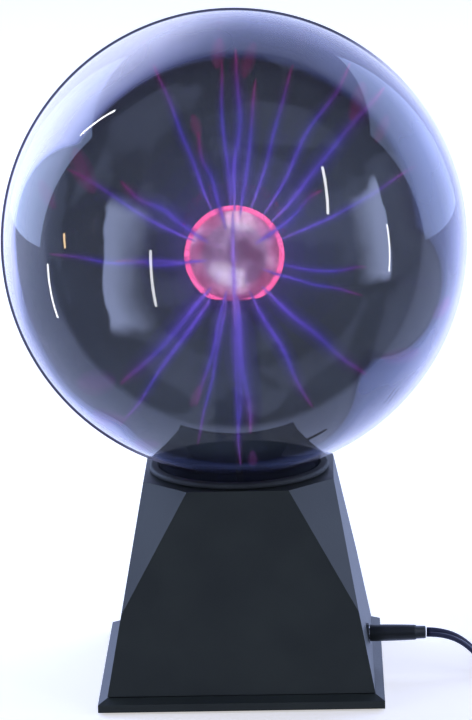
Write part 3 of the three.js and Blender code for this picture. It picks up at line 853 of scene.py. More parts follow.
def swept_points(path, section, twist=0.0, scale=1.0):
    """A section carried along a path: side is horizontal, up is square to side and the path.

    Each section point (s, u) goes to path + s side + u up, turned about the path by twist.
    """
    tangent = np.gradient(path, axis=0)
    tangent /= np.linalg.norm(tangent, axis=1, keepdims=True)
    side = np.cross([0.0, 0.0, 1.0], tangent)
    side /= np.maximum(np.linalg.norm(side, axis=1, keepdims=True), 1e-9)
    up = np.cross(tangent, side)
    twist = np.broadcast_to(twist, len(path))[:, None]
    scale = np.broadcast_to(scale, len(path))[:, None, None]
    s = section[:, 0] * np.cos(twist) - section[:, 1] * np.sin(twist)
    u = section[:, 0] * np.sin(twist) + section[:, 1] * np.cos(twist)
    return path[:, None] + scale * (s[..., None] * side[:, None] + u[..., None] * up[:, None])


def swept(name, path, section, materials, twist=0.0, scale=1.0):
    """A closed tube of one section along a path, with flat ends."""
    points = swept_points(path, section, twist, scale)
    rows, columns = points.shape[:2]
    faces = grid_faces(rows, columns)
    faces.append(list(range(columns))[::-1])
    faces.append(list(range((rows - 1) * columns, rows * columns)))
    piece = put_mesh(name, points, faces, materials)
    face_outwards(piece)
    return piece


def circle(radius, sides):
    angle = np.linspace(0, 2 * np.pi, sides, endpoint=False)
    return radius * np.stack([np.cos(angle), np.sin(angle)], axis=1)


def softened(node, material, width, body, slot=None, segments=3):
    """A merged copy of a frame node with rounded edges, which stands for it."""
    source = frame["nodes"][node]
    mesh = source.data.copy()
    mesh.name = node + "_surface"
    work = bmesh.new()
    work.from_mesh(mesh)
    bmesh.ops.remove_doubles(work, verts=work.verts, dist=2e-6)
    bmesh.ops.dissolve_limit(
        work, angle_limit=math.radians(1.5), verts=work.verts, edges=work.edges
    )
    work.to_mesh(mesh)
    work.free()
    mesh.materials.clear()
    mesh.materials.append(material)
    mesh.polygons.foreach_set("material_index", np.zeros(len(mesh.polygons), np.int32))
    mesh.polygons.foreach_set("use_smooth", np.full(len(mesh.polygons), False))
    piece = bpy.data.objects.new(node + "_surface", mesh)
    bpy.context.scene.collection.objects.link(piece)
    bevel = piece.modifiers.new("rounded edges", "BEVEL")
    bevel.width = width
    bevel.segments = segments
    bevel.limit_method = "ANGLE"
    bevel.angle_limit = math.radians(28)
    bevel.harden_normals = False
    bevel.use_clamp_overlap = True
    adopt(piece, body, [node], slot)
    return piece


def adopt(piece, body, nodes=(), slot=None):
    """Rides a piece on a body and hides the nodes that it stands for."""
    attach(piece, body)
    if nodes:
        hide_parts(*nodes)
    if slot is None and nodes:
        parts = frame["record"]["subparts"]
        slot = next(p["material_slot"] for p in parts if p["node"] == nodes[0])
    return piece


def refinish(nodes, material):
    """Gives frame nodes a finish in place of their plain one."""
    for name in nodes:
        mesh = frame["nodes"][name].data
        mesh.materials.clear()
        mesh.materials.append(material)


# ---------------------------------------------------------------- cord

# The route of the power lead from the plug to the coil, in millimetres.
CORD_ROUTE = [
    (80.3, -10, 19),
    (84, -10, 18.8),
    (88, -10, 18.1),
    (92, -10.1, 16.8),
    (96, -10.3, 14.6),
    (99.7, -10.7, 11.5),
    (103, -11.3, 7.9),
    (106.3, -12.2, 4.7),
    (110.2, -13.4, 2.6),
    (115, -15.1, 1.7),
    (120.5, -17.1, 1.6),
    (126, -19.1, 2.2),
]
# From the coil to the adapter.
CORD_TAIL = [
    (174, 14, 4.8),
    (174, 20, 5.3),
    (174, 26.6, 6.4),
    (174, 29.2, 7.7),
    (174, 31.8, 9.4),
    (174, 34.6, 11.1),
    (174, 37.6, 12),
]
COIL_CENTRE = np.array([141.5, 8.0, 5.6])
COIL_RADIUS = 25.8
COIL_STRANDS = 9  # places round the coil's section that the turns pass through
COIL_SPREAD = np.array([7.0, 3.6])  # half sizes of that ring of places, across and up
COIL_START = -110  # degrees, where the lead joins the coil


def coil_turns():
    """The coil's centreline, in millimetres.

    At turn t the angle about the coil is COIL_START + 360 t degrees, and the turn sits at the phase
    -45 - 360 t / COIL_STRANDS degrees round the coil's oval section, so that neighbouring turns always
    lie one place apart.
    """
    turns = COIL_STRANDS - 1 - COIL_START / 360
    t = np.linspace(0, turns, int(turns * 60))
    angle = np.radians(COIL_START + 360 * t)
    phase = np.radians(-45 - 360 * t / COIL_STRANDS)
    radius = COIL_RADIUS + COIL_SPREAD[0] * np.cos(phase)
    flat = np.stack([radius * np.cos(angle), radius * np.sin(angle)], axis=1)
    height = COIL_SPREAD[1] * np.sin(phase)
    return COIL_CENTRE + np.column_stack([flat, height])


def twin_section(width):
    """Two touching round cores side by side: two circular lobes that meet in a narrow waist."""
    core = width * 0.256
    lobe = arc(core, (width / 2 - core, 0.0), -158, 158, 12)
    return np.vstack([lobe, -lobe])


class PLASMABALL_OT_camera(bpy.types.Operator):
    """Places the camera in front of the ball, a little above it"""

    bl_idname = "plasma_ball.camera"
    bl_label = "Camera"

    def execute(self, context):
        azimuth = math.radians(1.4)
        elevation = math.radians(12.79)
        roll = math.radians(-1.34)
        distance = 1.6045
        aim = Vector((0.0, 0.0, 0.13993))
        aside = 0.00035
        back = Vector(
            (
                math.sin(azimuth) * math.cos(elevation),
                -math.cos(azimuth) * math.cos(elevation),
                math.sin(elevation),
            )
        )
        right = Vector((math.cos(azimuth), math.sin(azimuth), 0.0))
        up = back.cross(right)
        place = aim - right * aside + back * distance
        tilted_right = right * math.cos(roll) + up * math.sin(roll)
        tilted_up = up * math.cos(roll) - right * math.sin(roll)
        data = bpy.data.cameras.new("camera")
        data.sensor_width = 36
        data.lens = 185.6
        data.clip_end = 50
        camera = bpy.data.objects.new("camera", data)
        axes = Matrix((tilted_right, tilted_up, back)).transposed().to_4x4()
        camera.matrix_world = Matrix.Translation(place) @ axes
        context.scene.collection.objects.link(camera)
        context.scene.camera = camera
        return {"FINISHED"}


class PLASMABALL_OT_power_lead(bpy.types.Operator):
    """Makes the plug, the flat twin lead with its coil and tie, and the mains adapter"""

    bl_idname = "plasma_ball.power_lead"
    bl_label = "Power lead"

    def execute(self, context):
        pvc = black_pvc()
        plug = self.plug(pvc)
        cord, path = self.cord()
        refinish(["dc_plug_barrel", "adapter_pin_1", "adapter_pin_2"], nickel())
        tie = softened("cable_tie", nylon(), 0.25 * MM, LEAD)
        relief = self.relief(pvc)
        shell = black_abs()
        case = softened("adapter_case", shell, 1.6 * MM, LEAD, segments=4)
        plate = softened("adapter_plate", shell, 0.8 * MM, LEAD)
        for piece in (cord, tie, relief, case, plate):
            piece.visible_glossy = False  # the put-away coil stays out of the globe's mirror image
        return {"FINISHED"}

    def plug(self, material):
        """Moulded plug body: a plain round handle that tapers a little and steps down to its neck."""
        start, end = PLUG_START, PLUG_END
        handle = [
            (0.0, start + 6.3 * MM),
            (3.05 * MM, start + 6.3 * MM),
            (3.05 * MM, start + 0.2 * MM),
            (3.25 * MM, start),
            (3.5 * MM, start + 0.05 * MM),
            (3.65 * MM, start + 0.35 * MM),
        ]
        neck = [
            (3.65 * MM, start + 7 * MM),
            (3.5 * MM, start + 14 * MM),
            (3.3 * MM, end - 5.2 * MM),
            (3.2 * MM, end - 4.5 * MM),
            (2.85 * MM, end - 4.1 * MM),
            (2.75 * MM, end - 0.5 * MM),
            (2.5 * MM, end - 0.1 * MM),
            (0.0, end),
        ]
        piece = turned(
            "dc_plug_handle", handle + neck, 48, [material], centre=(0, PLUG_Y, PLUG_Z), axis="X"
        )
        return adopt(piece, LEAD, ["dc_plug_body"])

    def relief(self, material):
        """Tapered sleeve where the lead enters the adapter, with four soft ribs."""
        low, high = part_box("adapter_strain_relief")
        length = high.y - low.y
        centre = (low + high) / 2
        along = np.linspace(0, 1, 33)
        radius = (2.9 + 1.6 * along**1.5) * MM
        ribs = 0.25 * MM * np.sin(along * 4 * 2 * np.pi) * (along > 0.1) * (along < 0.9)
        profile = np.vstack(
            [[[0, 0]], np.column_stack([radius + ribs, along * length]), [[0, length]]]
        )
        piece = turned("adapter_relief_sleeve", profile, 32, [material])
        points = np.empty(len(piece.data.vertices) * 3)
        piece.data.vertices.foreach_get("co", points)
        points = points.reshape(-1, 3)[:, [0, 2, 1]] + np.array([centre.x, low.y, centre.z])
        piece.data.vertices.foreach_set("co", points.ravel())
        face_outwards(piece)
        return adopt(piece, LEAD, ["adapter_strain_relief"])

    def cord(self):
        """The lead from plug to adapter; it leaves the plug on edge and turns to lie flat."""
        route = np.vstack([CORD_ROUTE, coil_turns(), CORD_TAIL]) * MM
        path = smooth_path(route, 2.2 * MM)
        away = np.linalg.norm(path - path[0], axis=1)
        twist = np.radians(62) * np.clip(1 - away / (26 * MM), 0, 1)
        section = twin_section(settings().cord_width)
        cord = swept("power_lead_cord", path, section, [cord_pvc()], twist)
        adopt(cord, LEAD, ["power_cord", "cord_coil", "power_cord_tail"])
        return cord, path


# ---------------------------------------------------------------- base

class PLASMABALL_OT_base(bpy.types.Operator):
    """Makes the tower housing, the plinth, its feet and screws, and the collar under the globe"""

    bl_idname = "plasma_ball.base"
    bl_label = "Tower and plinth"

    def execute(self, context):
        shell = black_abs()
        rubber = black_rubber()
        width = settings().edge_round
        softened("tower_housing", shell, width, BASE)
        softened("base_plinth", shell, width, BASE)
        softened("neck_cradle", shell, width, BASE)
        for i in range(1, 5):
            softened(f"foot_{i}", rubber, 0.5 * MM, BASE)
        steel = plated_steel()
        screws = [name for name in frame["nodes"] if "screw" in name]
        refinish(screws, steel)
        refinish(["neck_pad"], foam())
        self.collar(rubber)
        return {"FINISHED"}

    def collar(self, rubber):
        """Rubber collar: a ring whose outer shoulder is a quarter round and whose lip meets the glass."""
        low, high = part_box("collar_ring")
        outer = high.x
        inner = NECK_RADIUS + 0.3 * MM
        lip = high.z
        shoulder = arc(1.2 * MM, (outer - 1.2 * MM, lip - 1.2 * MM), 0, 90, 10)
        profile = np.vstack(
            [
                [[inner, low.z], [outer - 0.3 * MM, low.z], [outer, low.z + 0.3 * MM]],
                shoulder,
                arc(0.4 * MM, (inner + 0.4 * MM, lip - 0.4 * MM), 90, 180, 6),
                [[inner, low.z]],
            ]
        )
        piece = turned("rubber_collar", profile, 160, [rubber])
        return adopt(piece, BASE, ["collar_ring"])


# ---------------------------------------------------------------- globe

def globe_skin(wall, count):
    """Profile of globe and neck: a circle about the globe's centre, a concave fillet, then a cylinder.

    wall moves the skin inwards, which makes the fillet larger by the wall.
    """
    reach = GLOBE_RADIUS + NECK_FILLET
    fillet_r = NECK_RADIUS + NECK_FILLET
    touch = math.degrees(math.acos(fillet_r / reach))
    fillet_z = GLOBE_Z - math.sqrt(reach**2 - fillet_r**2)
    sphere = arc(GLOBE_RADIUS - wall, (0, GLOBE_Z), 90, -touch, count)
    fillet = arc(NECK_FILLET + wall, (fillet_r, fillet_z), 180 - touch, 180, 14)[1:]
    sphere[0, 0] = 0.0
    bore = NECK_RADIUS - wall
    neck = [[bore, NECK_FOOT + 12 * MM], [bore, NECK_FOOT]]
    return np.vstack([sphere, fillet, neck])


class PLASMABALL_OT_globe(bpy.types.Operator):
    """Makes the blown glass globe with its neck"""

    bl_idname = "plasma_ball.globe"
    bl_label = "Glass globe"

    def execute(self, context):
        outer = globe_skin(0.0, 90)
        inner = globe_skin(settings().glass_wall, 90)[::-1]
        bands = [0] * len(outer) + [1] * (len(inner) - 1)
        globe = turned(
            "blown_globe",
            np.vstack([outer, inner]),
            144,
            [globe_glass_painted_reflections(), clear_inner_glass()],
            bands,
        )
        adopt(globe, BASE, ["glass_globe"])
        return {"FINISHED"}


# ---------------------------------------------------------------- electrode

class PLASMABALL_OT_electrode(bpy.types.Operator):
    """Makes the bulb electrode with its stem, its metal lining, contact rod and spring"""

    bl_idname = "plasma_ball.electrode"
    bl_label = "Electrode"

    def execute(self, context):
        self.glass()
        self.lining()
        refinish(["contact_rod"], brass())
        refinish(["contact_spring"], plated_steel())
        return {"FINISHED"}

    def glass(self):
        """Bulb and stem: most of a sphere, a shoulder where it closes to the stem, and a flared foot."""
        mouth = -math.degrees(math.acos(13 * MM / BULB_RADIUS))

        def skin(wall, count):
            bulb = arc(BULB_RADIUS - wall, (0, BULB_Z), 90, mouth, count)
            bulb[0, 0] = 0.0
            stem = np.array(
                [
                    (12.2 * MM - wall, BULB_Z - 18.6 * MM),
                    (10.6 * MM - wall, BULB_Z - 20.6 * MM),
                    (10 * MM - wall, BULB_Z - 25 * MM),
                    (10 * MM - wall, 86 * MM),
                    (12 * MM - wall, 79 * MM),
                    (18 * MM, 73 * MM - wall),
                    (32.6 * MM, 70 * MM - wall),
                ]
            )
            return bulb, stem

        outer_bulb, outer_stem = skin(0.0, 48)
        inner_bulb, inner_stem = skin(1.2 * MM, 48)
        profile = np.vstack([outer_bulb, outer_stem, inner_stem[::-1], inner_bulb[::-1]])
        bulb_bands = len(outer_bulb) - 1
        bands = [0] * bulb_bands + [1] * (len(profile) - 1 - bulb_bands)
        piece = turned(
            "electrode_bulb", profile, 96, [lit_bulb_glass(), clear_stem_glass()], bands
        )
        adopt(piece, BASE, ["electrode_glass"])

    def lining(self):
        """Metal film: the upper part of a sphere with a thin wall, open towards the stem."""
        low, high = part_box("electrode_lining")
        outer = (high.x - low.x) / 2
        middle = high.z - outer
        mouth = math.degrees(math.asin((low.z - middle) / outer))
        profile = np.vstack(
            [
                arc(outer, (0, middle), 90, mouth, 40),
                arc(outer - 0.5 * MM, (0, middle), mouth, 90, 40),
            ]
        )
        profile[0, 0] = profile[-1, 0] = 0.0
        piece = turned("bulb_lining", profile, 80, [metal_film()])
        adopt(piece, BASE, ["electrode_lining"])


# ---------------------------------------------------------------- streamers

# Each streamer's heading seen from the front: degrees clockwise from straight up, degrees that it leans
# forwards (backwards below 0), and its relative thickness.
STREAMERS = [
    (2, 22, 1.3),
    (-10, 48, 1.0),
    (-4, -42, 0.8),
    (8, 33, 1.0),
    (41, 12, 1.5),
    (34, -25, 1.0),
    (42, 55, 1.1),
    (-43, 50, 1.4),
    (-54, 34, 0.9),
    (-72, 60, 0.8),
    (-130, 50, 1.7),
    (-142, 30, 0.9),
    (-162, 58, 1.0),
    (-167, 40, 0.7),
    (174, 48, 1.8),
    (179, 22, 0.9),
    (147, 50, 1.2),
    (125, 44, 1.4),
    (92, 56, 0.7),
    (70, -30, 0.8),
    (-95, -30, 0.8),
    (-150, -35, 0.8),
    (110, -50, 0.8),
    (-25, -35, 0.9),
    (20, -40, 0.9),
]
STREAMER_LIFT = 9  # degrees lower that a streamer leaves the electrode than it lands


def directions(clock, lean):
    """Unit vectors from the clock angle and the lean, in radians."""
    level = np.cos(lean)
    return np.stack([level * np.sin(clock), -np.sin(lean) + 0 * clock, level * np.cos(clock)], axis=-1)


def streamer_path(clock, lean, seed):
    """A streamer's centreline, which rises a little on its way and wanders.

    The distance from the electrode grows evenly from its skin to the glass, while the clock angle and the
    lean sway by a small sum of sines. The start is turned away from straight up by STREAMER_LIFT.
    """
    t = np.linspace(0, 1, 44)
    wander = np.random.default_rng(seed).uniform(-1, 1, (2, 3))
    waves = np.sin(np.pi * t)[:, None] * np.sin(np.outer(t, [2.5, 5.5, 11.0]) + 2.0) * [1.0, 0.8, 0.35]
    sway = np.radians(2.4) * waves @ wander.T
    lift = math.copysign(math.radians(STREAMER_LIFT), clock) * math.sin(math.radians(abs(clock)))
    around = math.radians(clock) + lift * (1 - t) ** 1.5 + sway[:, 0]
    heading = directions(around, math.radians(lean) + sway[:, 1])
    drop = BULB_Z - GLOBE_Z
    wall = GLOBE_RADIUS - settings().glass_wall - 1.2 * MM
    along = heading[-1, 2] * drop
    reach = -along + math.sqrt(along**2 - drop**2 + wall**2)
    distance = BULB_RADIUS + 0.2 * MM + (reach - BULB_RADIUS) * t
    return np.array([0, 0, BULB_Z]) + distance[:, None] * heading


def creeping_path():
    """A streamer that creeps down the front of the bulb and on down the stem.

    It is an arc just off the bulb in the upright plane through its middle, then a straight line down.
    """
    off = BULB_RADIUS + 0.9 * MM
    over = arc(off, (0, BULB_Z), 72, -52, 30)
    bottom = np.array([[11.5 * MM, BULB_Z - 27 * MM], [11.2 * MM, BULB_Z - 60 * MM], [11 * MM, 104 * MM]])
    outline = np.vstack([over, bottom])
    path = smooth_path(np.column_stack([0 * outline[:, 0], -outline[:, 0], outline[:, 1]]), 0.5 * MM)
    chosen = np.linspace(0, len(path) - 1, 44).astype(int)
    return path[chosen]


class PLASMABALL_OT_streamers(bpy.types.Operator):
    """Makes the glowing streamers in the gas, as nested soft layers"""

    bl_idname = "plasma_ball.streamers"
    bl_label = "Streamers"

    def execute(self, context):
        core = settings().streamer_radius
        glow = settings().glow
        layers = [
            ("streamer_cores", 1.0, 0.45, 7.5),
            ("streamer_haloes", 2.4, 0.2, 5.0),
            ("streamer_fringes", 4.2, 0.1, 4.0),
            ("streamer_mist", 7.0, 0.05, 4.0),
        ]
        for name, spread, solidity, brightness in layers:
            self.layer(name, core * spread, ionised_gas(name, solidity, brightness * glow))
        return {"FINISHED"}

    def layer(self, name, radius, material):
        """Round tubes whose width swells along the way by a half sine and rounds off at both ends.

        The rounding is the square root of the distance left to the end, as on a half ellipse.
        """
        t = np.linspace(0, 1, 44)
        rounding = np.sqrt(np.clip(np.minimum(t / 0.22, (1 - t) / 0.16), 0.004, 1))
        swell = (0.6 + 0.4 * np.sin(np.pi * t)) * rounding
        points = []
        faces = []
        sides = 10
        rows = len(t)
        paths = [streamer_path(clock, lean, seed) for seed, (clock, lean, _) in enumerate(STREAMERS, 3)]
        widths = [thickness for _, _, thickness in STREAMERS]
        for number, (path, thickness) in enumerate(zip([*paths, creeping_path()], [*widths, 0.75])):
            ring = swept_points(path, circle(radius * thickness, sides), scale=swell)
            start = number * rows * sides
            tube = np.array(grid_faces(rows, sides)) + start
            faces += tube.tolist()
            faces.append((np.arange(sides)[::-1] + start).tolist())
            faces.append((np.arange(sides) + start + (rows - 1) * sides).tolist())
            points.append(ring.reshape(-1, 3))
        piece = put_mesh(name, np.vstack(points), faces, [material])
        face_outwards(piece)
        adopt(piece, BASE, slot="electrode_glass")


# Pink blushes where the gas glows against the glass: clock angle and lean of both ends in degrees, and the
# half width in millimetres.
BLUSHES = [
    (-2, 16, -3, 30, 3.2),
    (7, 18, 5, 34, 3.0),
    (-12, 45, -11, 52, 2.4),
    (38, 16, 40, 34, 3.4),
    (48, 22, 50, 34, 2.6),
    (-52, 30, -58, 46, 4.5),
    (-66, 24, -70, 36, 3.0),
    (-128, 26, -132, 44, 5.5),
    (-138, 16, -144, 32, 3.4),
    (-152, 12, -157, 28, 2.6),
    (118, 22, 122, 40, 3.4),
    (104, 10, 108, 22, 2.8),
    (176, 18, 175, 34, 2.2),
    (-162, 54, -163, 62, 2.0),
]


class PLASMABALL_OT_glow(bpy.types.Operator):
    """Makes the violet haze round the electrode and the pink blushes against the glass"""

    bl_idname = "plasma_ball.glow"
    bl_label = "Glow"

    def execute(self, context):
        glow = settings().glow
        layers = [(3.5, 0.05), (7.0, 0.045), (12.0, 0.035), (18.0, 0.028), (26.0, 0.02)]
        for number, (thickness, solidity) in enumerate(layers, 1):
            gas = ionised_gas(f"violet_haze_{number}", solidity, 2.6 * glow)
            self.haze(f"violet_haze_{number}", thickness * MM, gas)
        for name, spread, solidity in (("blush_cores", 0.55, 0.1), ("blush_edges", 1.0, 0.08)):
            self.blushes(name, spread, ionised_gas(name, solidity, 6.0 * glow))
        return {"FINISHED"}

    def haze(self, name, thickness, material):
        """A lumpy closed shell.

        The radius is the bulb's plus thickness times a sum of waves over the shell.
        """
        latitude = np.linspace(0, np.pi, 34)[1:-1, None]
        longitude = np.linspace(0, 2 * np.pi, 64, endpoint=False)[None, :]
        waves = 0.16 * np.sin(3 * longitude + 1.3) * np.sin(latitude) ** 2
        waves = waves + 0.12 * np.sin(5 * longitude + 4 * latitude) * np.sin(latitude) ** 2
        rise = 0.35 * np.cos(latitude)  # warm gas rises, so the haze stands higher above the bulb
        radius = BULB_RADIUS + thickness * (1 + rise + waves)
        points = np.stack(
            [
                radius * np.sin(latitude) * np.cos(longitude),
                radius * np.sin(latitude) * np.sin(longitude),
                radius * np.cos(latitude) + 0 * longitude,
            ],
            axis=-1,
        ).reshape(-1, 3)
        faces = grid_faces(32, 64)
        around = np.arange(64)
        beside = (around + 1) % 64
        count = len(points)
        top = BULB_RADIUS + 1.35 * thickness
        bottom = BULB_RADIUS + 0.65 * thickness
        points = np.vstack([points, [[0, 0, top], [0, 0, -bottom]]]) + [0, 0, BULB_Z]
        faces += np.stack([beside, around, np.full(64, count)], axis=1).tolist()
        last = 31 * 64
        faces += np.stack([last + around, last + beside, np.full(64, count + 1)], axis=1).tolist()
        piece = put_mesh(name, points, faces, [material])
        face_outwards(piece)
        adopt(piece, BASE, slot="electrode_glass")

    def blushes(self, name, spread, material):
        """Slim lenses along the inside of the glass.

        They are circles whose size follows the root of a half sine along the path.
        """
        t = np.linspace(0, 1, 20)
        swell = np.sqrt(np.maximum(np.sin(np.pi * t), 0.002))
        sides = 12
        points = []
        faces = []
        for number, (clock_0, lean_0, clock_1, lean_1, width) in enumerate(BLUSHES):
            clock = np.radians(clock_0 + (clock_1 - clock_0) * t)
            lean = np.radians(lean_0 + (lean_1 - lean_0) * t)
            reach = GLOBE_RADIUS - settings().glass_wall - width * 1.05 * MM
            path = np.array([0, 0, GLOBE_Z]) + reach * directions(clock, lean)
            points.append(
                swept_points(path, circle(width * spread * MM, sides), scale=swell).reshape(-1, 3)
            )
            start = number * len(t) * sides
            faces += (np.array(grid_faces(len(t), sides)) + start).tolist()
            faces.append((np.arange(sides)[::-1] + start).tolist())
            faces.append((np.arange(sides) + start + (len(t) - 1) * sides).tolist())
        piece = put_mesh(name, np.vstack(points), faces, [material])
        face_outwards(piece)
        adopt(piece, BASE, slot="electrode_glass")


# ---------------------------------------------------------------- electronics and switch

class PLASMABALL_OT_electronics(bpy.types.Operator):
    """Finishes the circuit board, transformer and the parts on the board"""

    bl_idname = "plasma_ball.electronics"
    bl_label = "Electronics"

    def execute(self, context):
        softened("high_voltage_winding", potting_resin(), 0.8 * MM, BASE)
        softened("ferrite_core_lower", ferrite(), 0.4 * MM, BASE)
        softened("ferrite_core_upper", ferrite(), 0.4 * MM, BASE)
        softened("drive_transistor", moulded_epoxy(), 0.15 * MM, BASE)
        softened("heat_sink", aluminium(), 0.2 * MM, BASE)
        softened("dc_socket", black_pvc(), 0.3 * MM, BASE)
        refinish(["primary_winding"], enamelled_wire())
        refinish(["circuit_board"], circuit_laminate())
        refinish(["capacitor_1", "capacitor_2"], shrink_sleeve())
        refinish(["high_voltage_lead", "switch_wire_1", "switch_wire_2"], silicone())
        return {"FINISHED"}


class PLASMABALL_OT_switch(bpy.types.Operator):
    """Finishes the rear slide switch and its knob"""

    bl_idname = "plasma_ball.switch"
    bl_label = "Slide switch"

    def execute(self, context):
        softened("switch_body", plated_steel(), 0.25 * MM, BASE)
        softened("switch_slider", black_abs(), 0.25 * MM, SWITCH)
        return {"FINISHED"}


# ---------------------------------------------------------------- stage

class PLASMABALL_OT_stage(bpy.types.Operator):
    """Makes the pale floor, the room's light and the soft lamps"""

    bl_idname = "plasma_ball.stage"
    bl_label = "Stage"

    # Windows: direction, half sizes across and up as sines of angles, and brightness.
    WINDOWS = (
        ((-0.79, -0.61, -0.05), 0.26, 0.50, 9.0),
        ((0.94, -0.31, 0.09), 0.22, 0.34, 9.0),
        ((0.10, -0.35, 0.93), 0.55, 0.22, 0.9),
    )

    def execute(self, context):
        self.floor()
        self.room(context.scene)
        self.lamps(context.scene)
        context.scene.view_settings.view_transform = "Standard"
        context.scene.cycles.transparent_max_bounces = 48
        return {"FINISHED"}

    def floor(self):
        """White paper, lit from below as well so that it stays white up to the ball's shadow."""
        half = 7.0
        corners = np.array([(-half, -half, 0), (half, -half, 0), (half, half, 0), (-half, half, 0)])
        material, tree, place = start_material("white_paper")
        fibre = add_node(
            tree, "ShaderNodeTexNoise", inputs={"Vector": place, "Scale": 1 / (4 * MM), "Detail": 2.0}
        ).outputs["Fac"]
        colour = add_node(
            tree, "ShaderNodeValToRGB", inputs={"Fac": fibre}, stops=[(0.3, "#f3f3f1"), (0.7, "#f7f7f6")]
        ).outputs["Color"]
        values = {
            "Base Color": colour,
            "Roughness": 0.9,
            "Emission Color": linear("#fffaf0"),
            "Emission Strength": 0.5,
        }
        finish_material(
            tree, add_node(tree, "ShaderNodeBsdfPrincipled", inputs=values).outputs["BSDF"]
        )
        floor = put_mesh("floor", corners, [[0, 1, 2, 3]], [material], smooth=False)
        floor.visible_glossy = False  # the room's light stands in for it in mirror images

    def room(self, scene):
        """The room: bright behind the ball, dark in front of it but for a few dim patches of window light."""
        world = bpy.data.worlds.new("room")
        world.use_nodes = True
        tree = world.node_tree
        tree.nodes.clear()
        direction = add_node(tree, "ShaderNodeTexCoord").outputs["Generated"]
        forwards = add_node(
            tree,
            "ShaderNodeVectorMath",
            {"operation": "DOT_PRODUCT"},
            {0: direction, 1: (0.02, -0.975, 0.22)},
        ).outputs["Value"]
        behind = add_node(
            tree,
            "ShaderNodeMapRange",
            {"interpolation_type": "SMOOTHSTEP"},
            {"Value": forwards, "From Min": -0.18, "From Max": -0.30, "To Min": 0.0, "To Max": 1.7},
        ).outputs["Result"]
        shapes = add_node(
            tree,
            "ShaderNodeTexNoise",
            inputs={"Vector": direction, "Scale": 1.7, "Detail": 2.0, "Distortion": 0.6},
        ).outputs["Fac"]
        windows = add_node(
            tree,
            "ShaderNodeValToRGB",
            inputs={"Fac": shapes},
            stops=[(0.50, 0.05), (0.54, 0.65), (0.68, 0.9)],
        ).outputs["Color"]
        strength = add_node(
            tree, "ShaderNodeMath", {"operation": "MAXIMUM"}, {0: behind, 1: windows}
        ).outputs[0]
        ripple = add_node(
            tree, "ShaderNodeTexNoise", inputs={"Vector": direction, "Scale": 3.0, "Detail": 2.0}
        ).outputs["Color"]
        bent = add_node(
            tree,
            "ShaderNodeVectorMath",
            {"operation": "MULTIPLY_ADD"},
            {0: ripple, 1: (0.22, 0.22, 0.22), 2: direction},
        ).outputs["Vector"]
        for towards, half_across, half_up, brightness in self.WINDOWS:
            pane = self.pane(tree, bent, Vector(towards), half_across, half_up, brightness)
            strength = add_node(
                tree, "ShaderNodeMath", {"operation": "MAXIMUM"}, {0: strength, 1: pane}
            ).outputs[0]
        light = add_node(
            tree, "ShaderNodeBackground", inputs={"Color": linear("#becdff"), "Strength": strength}
        ).outputs["Background"]
        add_node(tree, "ShaderNodeOutputWorld", inputs={"Surface": light})
        scene.world = world

    def pane(self, tree, direction, towards, half_across, half_up, brightness):
        """A window's light: full at its outer upright edge and fading inwards, with soft ends."""
        towards = towards.normalized()
        outwards = Vector((-towards.y, towards.x, 0)).normalized()
        outwards *= math.copysign(1.0, outwards.x * towards.x)
        upwards = towards.cross(outwards).normalized()
        ripple_middle = 0.11 * Vector((1, 1, 1))  # the ripple's own mean shift
        fades = (
            (outwards, half_across, 0.86 * half_across),
            (outwards, -half_across, 0.7 * half_across),
            (upwards, half_up, 0.75 * half_up),
            (upwards, -half_up, -0.75 * half_up),
            (towards, 0.2, 0.5),
        )
        light = brightness
        for axis, none, full in fades:
            reach = add_node(
                tree, "ShaderNodeVectorMath", {"operation": "DOT_PRODUCT"}, {0: direction, 1: tuple(axis)}
            ).outputs["Value"]
            shift = axis.dot(ripple_middle)
            share = add_node(
                tree,
                "ShaderNodeMapRange",
                {"interpolation_type": "SMOOTHSTEP"},
                {"Value": reach, "From Min": none + shift, "From Max": full + shift},
            ).outputs["Result"]
            light = add_node(
                tree, "ShaderNodeMath", {"operation": "MULTIPLY"}, {0: share, 1: light}
            ).outputs[0]
        return light

    def lamps(self, scene):
        """Soft boxes behind the ball on both sides, and narrow strips that draw streaks on the globe.

        Each lamp has a place, a size across and up, a power, a colour and the direction of its long side.
        """
        target = Vector((0, 0, 0.14))
        cool = "#b4caff"
        white = "#ffffff"
        lamps = [
            ("left_softbox", (-1.6, 1.15, 0.8), 1.6, 1.6, 34, cool, (0, 0, 1)),
            ("right_softbox", (1.6, 1.15, 0.8), 1.6, 1.6, 20, cool, (0, 0, 1)),
            ("left_strip", (-0.82, -1.07, 0.03), 0.03, 0.6, 1.2, white, (0.12, 0.07, -0.99)),
            ("right_strip", (0.95, -0.74, 0.84), 0.03, 0.5, 1.2, white, (0.18, -0.52, -0.84)),
            ("upper_left_strip", (-1.0, 0.3, 1.06), 0.02, 0.36, 0.8, white, (0.54, -0.34, 0.77)),
            ("low_left_strip", (-1.28, 0.2, -0.17), 0.03, 0.39, 0.8, white, (0.29, 0.04, -0.96)),
            ("far_right_strip", (1.34, -0.25, 0.16), 0.02, 0.41, 0.7, white, (-0.04, -0.04, -1.0)),
            ("warm_lamp", (-1.37, -0.08, 0.24), 0.03, 0.12, 0.25, "#ffd6a0", (-0.02, -0.33, -0.94)),
        ]
        for name, place, across, upward, power, colour, long_side in lamps:
            data = bpy.data.lights.new(name, "AREA")
            data.shape = "RECTANGLE"
            data.size = across
            data.size_y = upward
            data.energy = power
            data.color = linear(colour)[:3]
            away = (Vector(place) - target).normalized()
            side = Vector(long_side).cross(away).normalized()
            axes = Matrix((side, away.cross(side), away)).transposed().to_4x4()
            lamp = bpy.data.objects.new(name, data)
            lamp.matrix_world = Matrix.Translation(place) @ axes
            scene.collection.objects.link(lamp)


# ---------------------------------------------------------------- panel and registration

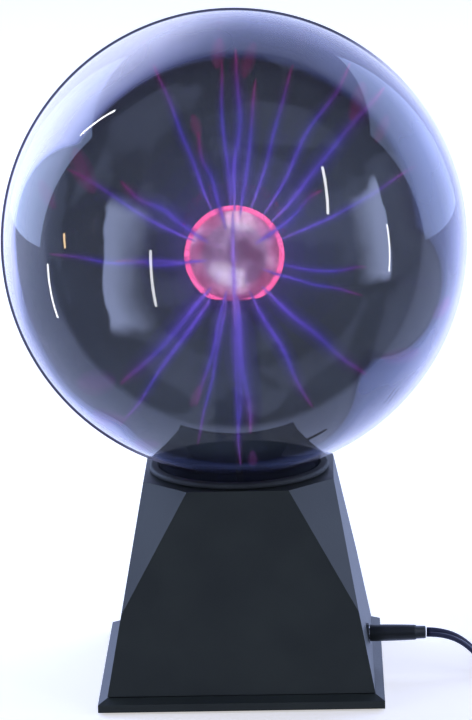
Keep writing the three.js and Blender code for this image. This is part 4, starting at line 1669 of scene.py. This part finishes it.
STEPS = (
    "camera",
    "power_lead",
    "base",
    "globe",
    "electrode",
    "streamers",
    "glow",
    "electronics",
    "switch",
    "stage",
)


class PLASMABALL_PT_build(bpy.types.Panel):
    """Lists the settings and the steps that build the plasma ball"""

    bl_idname = "PLASMABALL_PT_build"
    bl_label = "Plasma Ball"
    bl_space_type = "VIEW_3D"
    bl_region_type = "UI"
    bl_category = "Plasma Ball"

    def draw(self, context):
        chosen = context.scene.plasma_ball
        for name in ("glass_wall", "streamer_radius", "edge_round", "cord_width", "glow"):
            self.layout.prop(chosen, name)
        for step in STEPS:
            self.layout.operator("plasma_ball." + step)


CLASSES = (
    PlasmaBallSettings,
    PLASMABALL_OT_camera,
    PLASMABALL_OT_power_lead,
    PLASMABALL_OT_base,
    PLASMABALL_OT_globe,
    PLASMABALL_OT_electrode,
    PLASMABALL_OT_streamers,
    PLASMABALL_OT_glow,
    PLASMABALL_OT_electronics,
    PLASMABALL_OT_switch,
    PLASMABALL_OT_stage,
    PLASMABALL_PT_build,
)


def register():
    for cls in CLASSES:
        bpy.utils.register_class(cls)
    bpy.types.Scene.plasma_ball = PointerProperty(type=PlasmaBallSettings)


def unregister():
    del bpy.types.Scene.plasma_ball
    for cls in reversed(CLASSES):
        bpy.utils.unregister_class(cls)


def main():
    register()
    for step in STEPS:
        if getattr(bpy.ops.plasma_ball, step)() != {"FINISHED"}:
            raise RuntimeError(f"the step {step} did not finish")


if __name__ == "__main__":
    main()
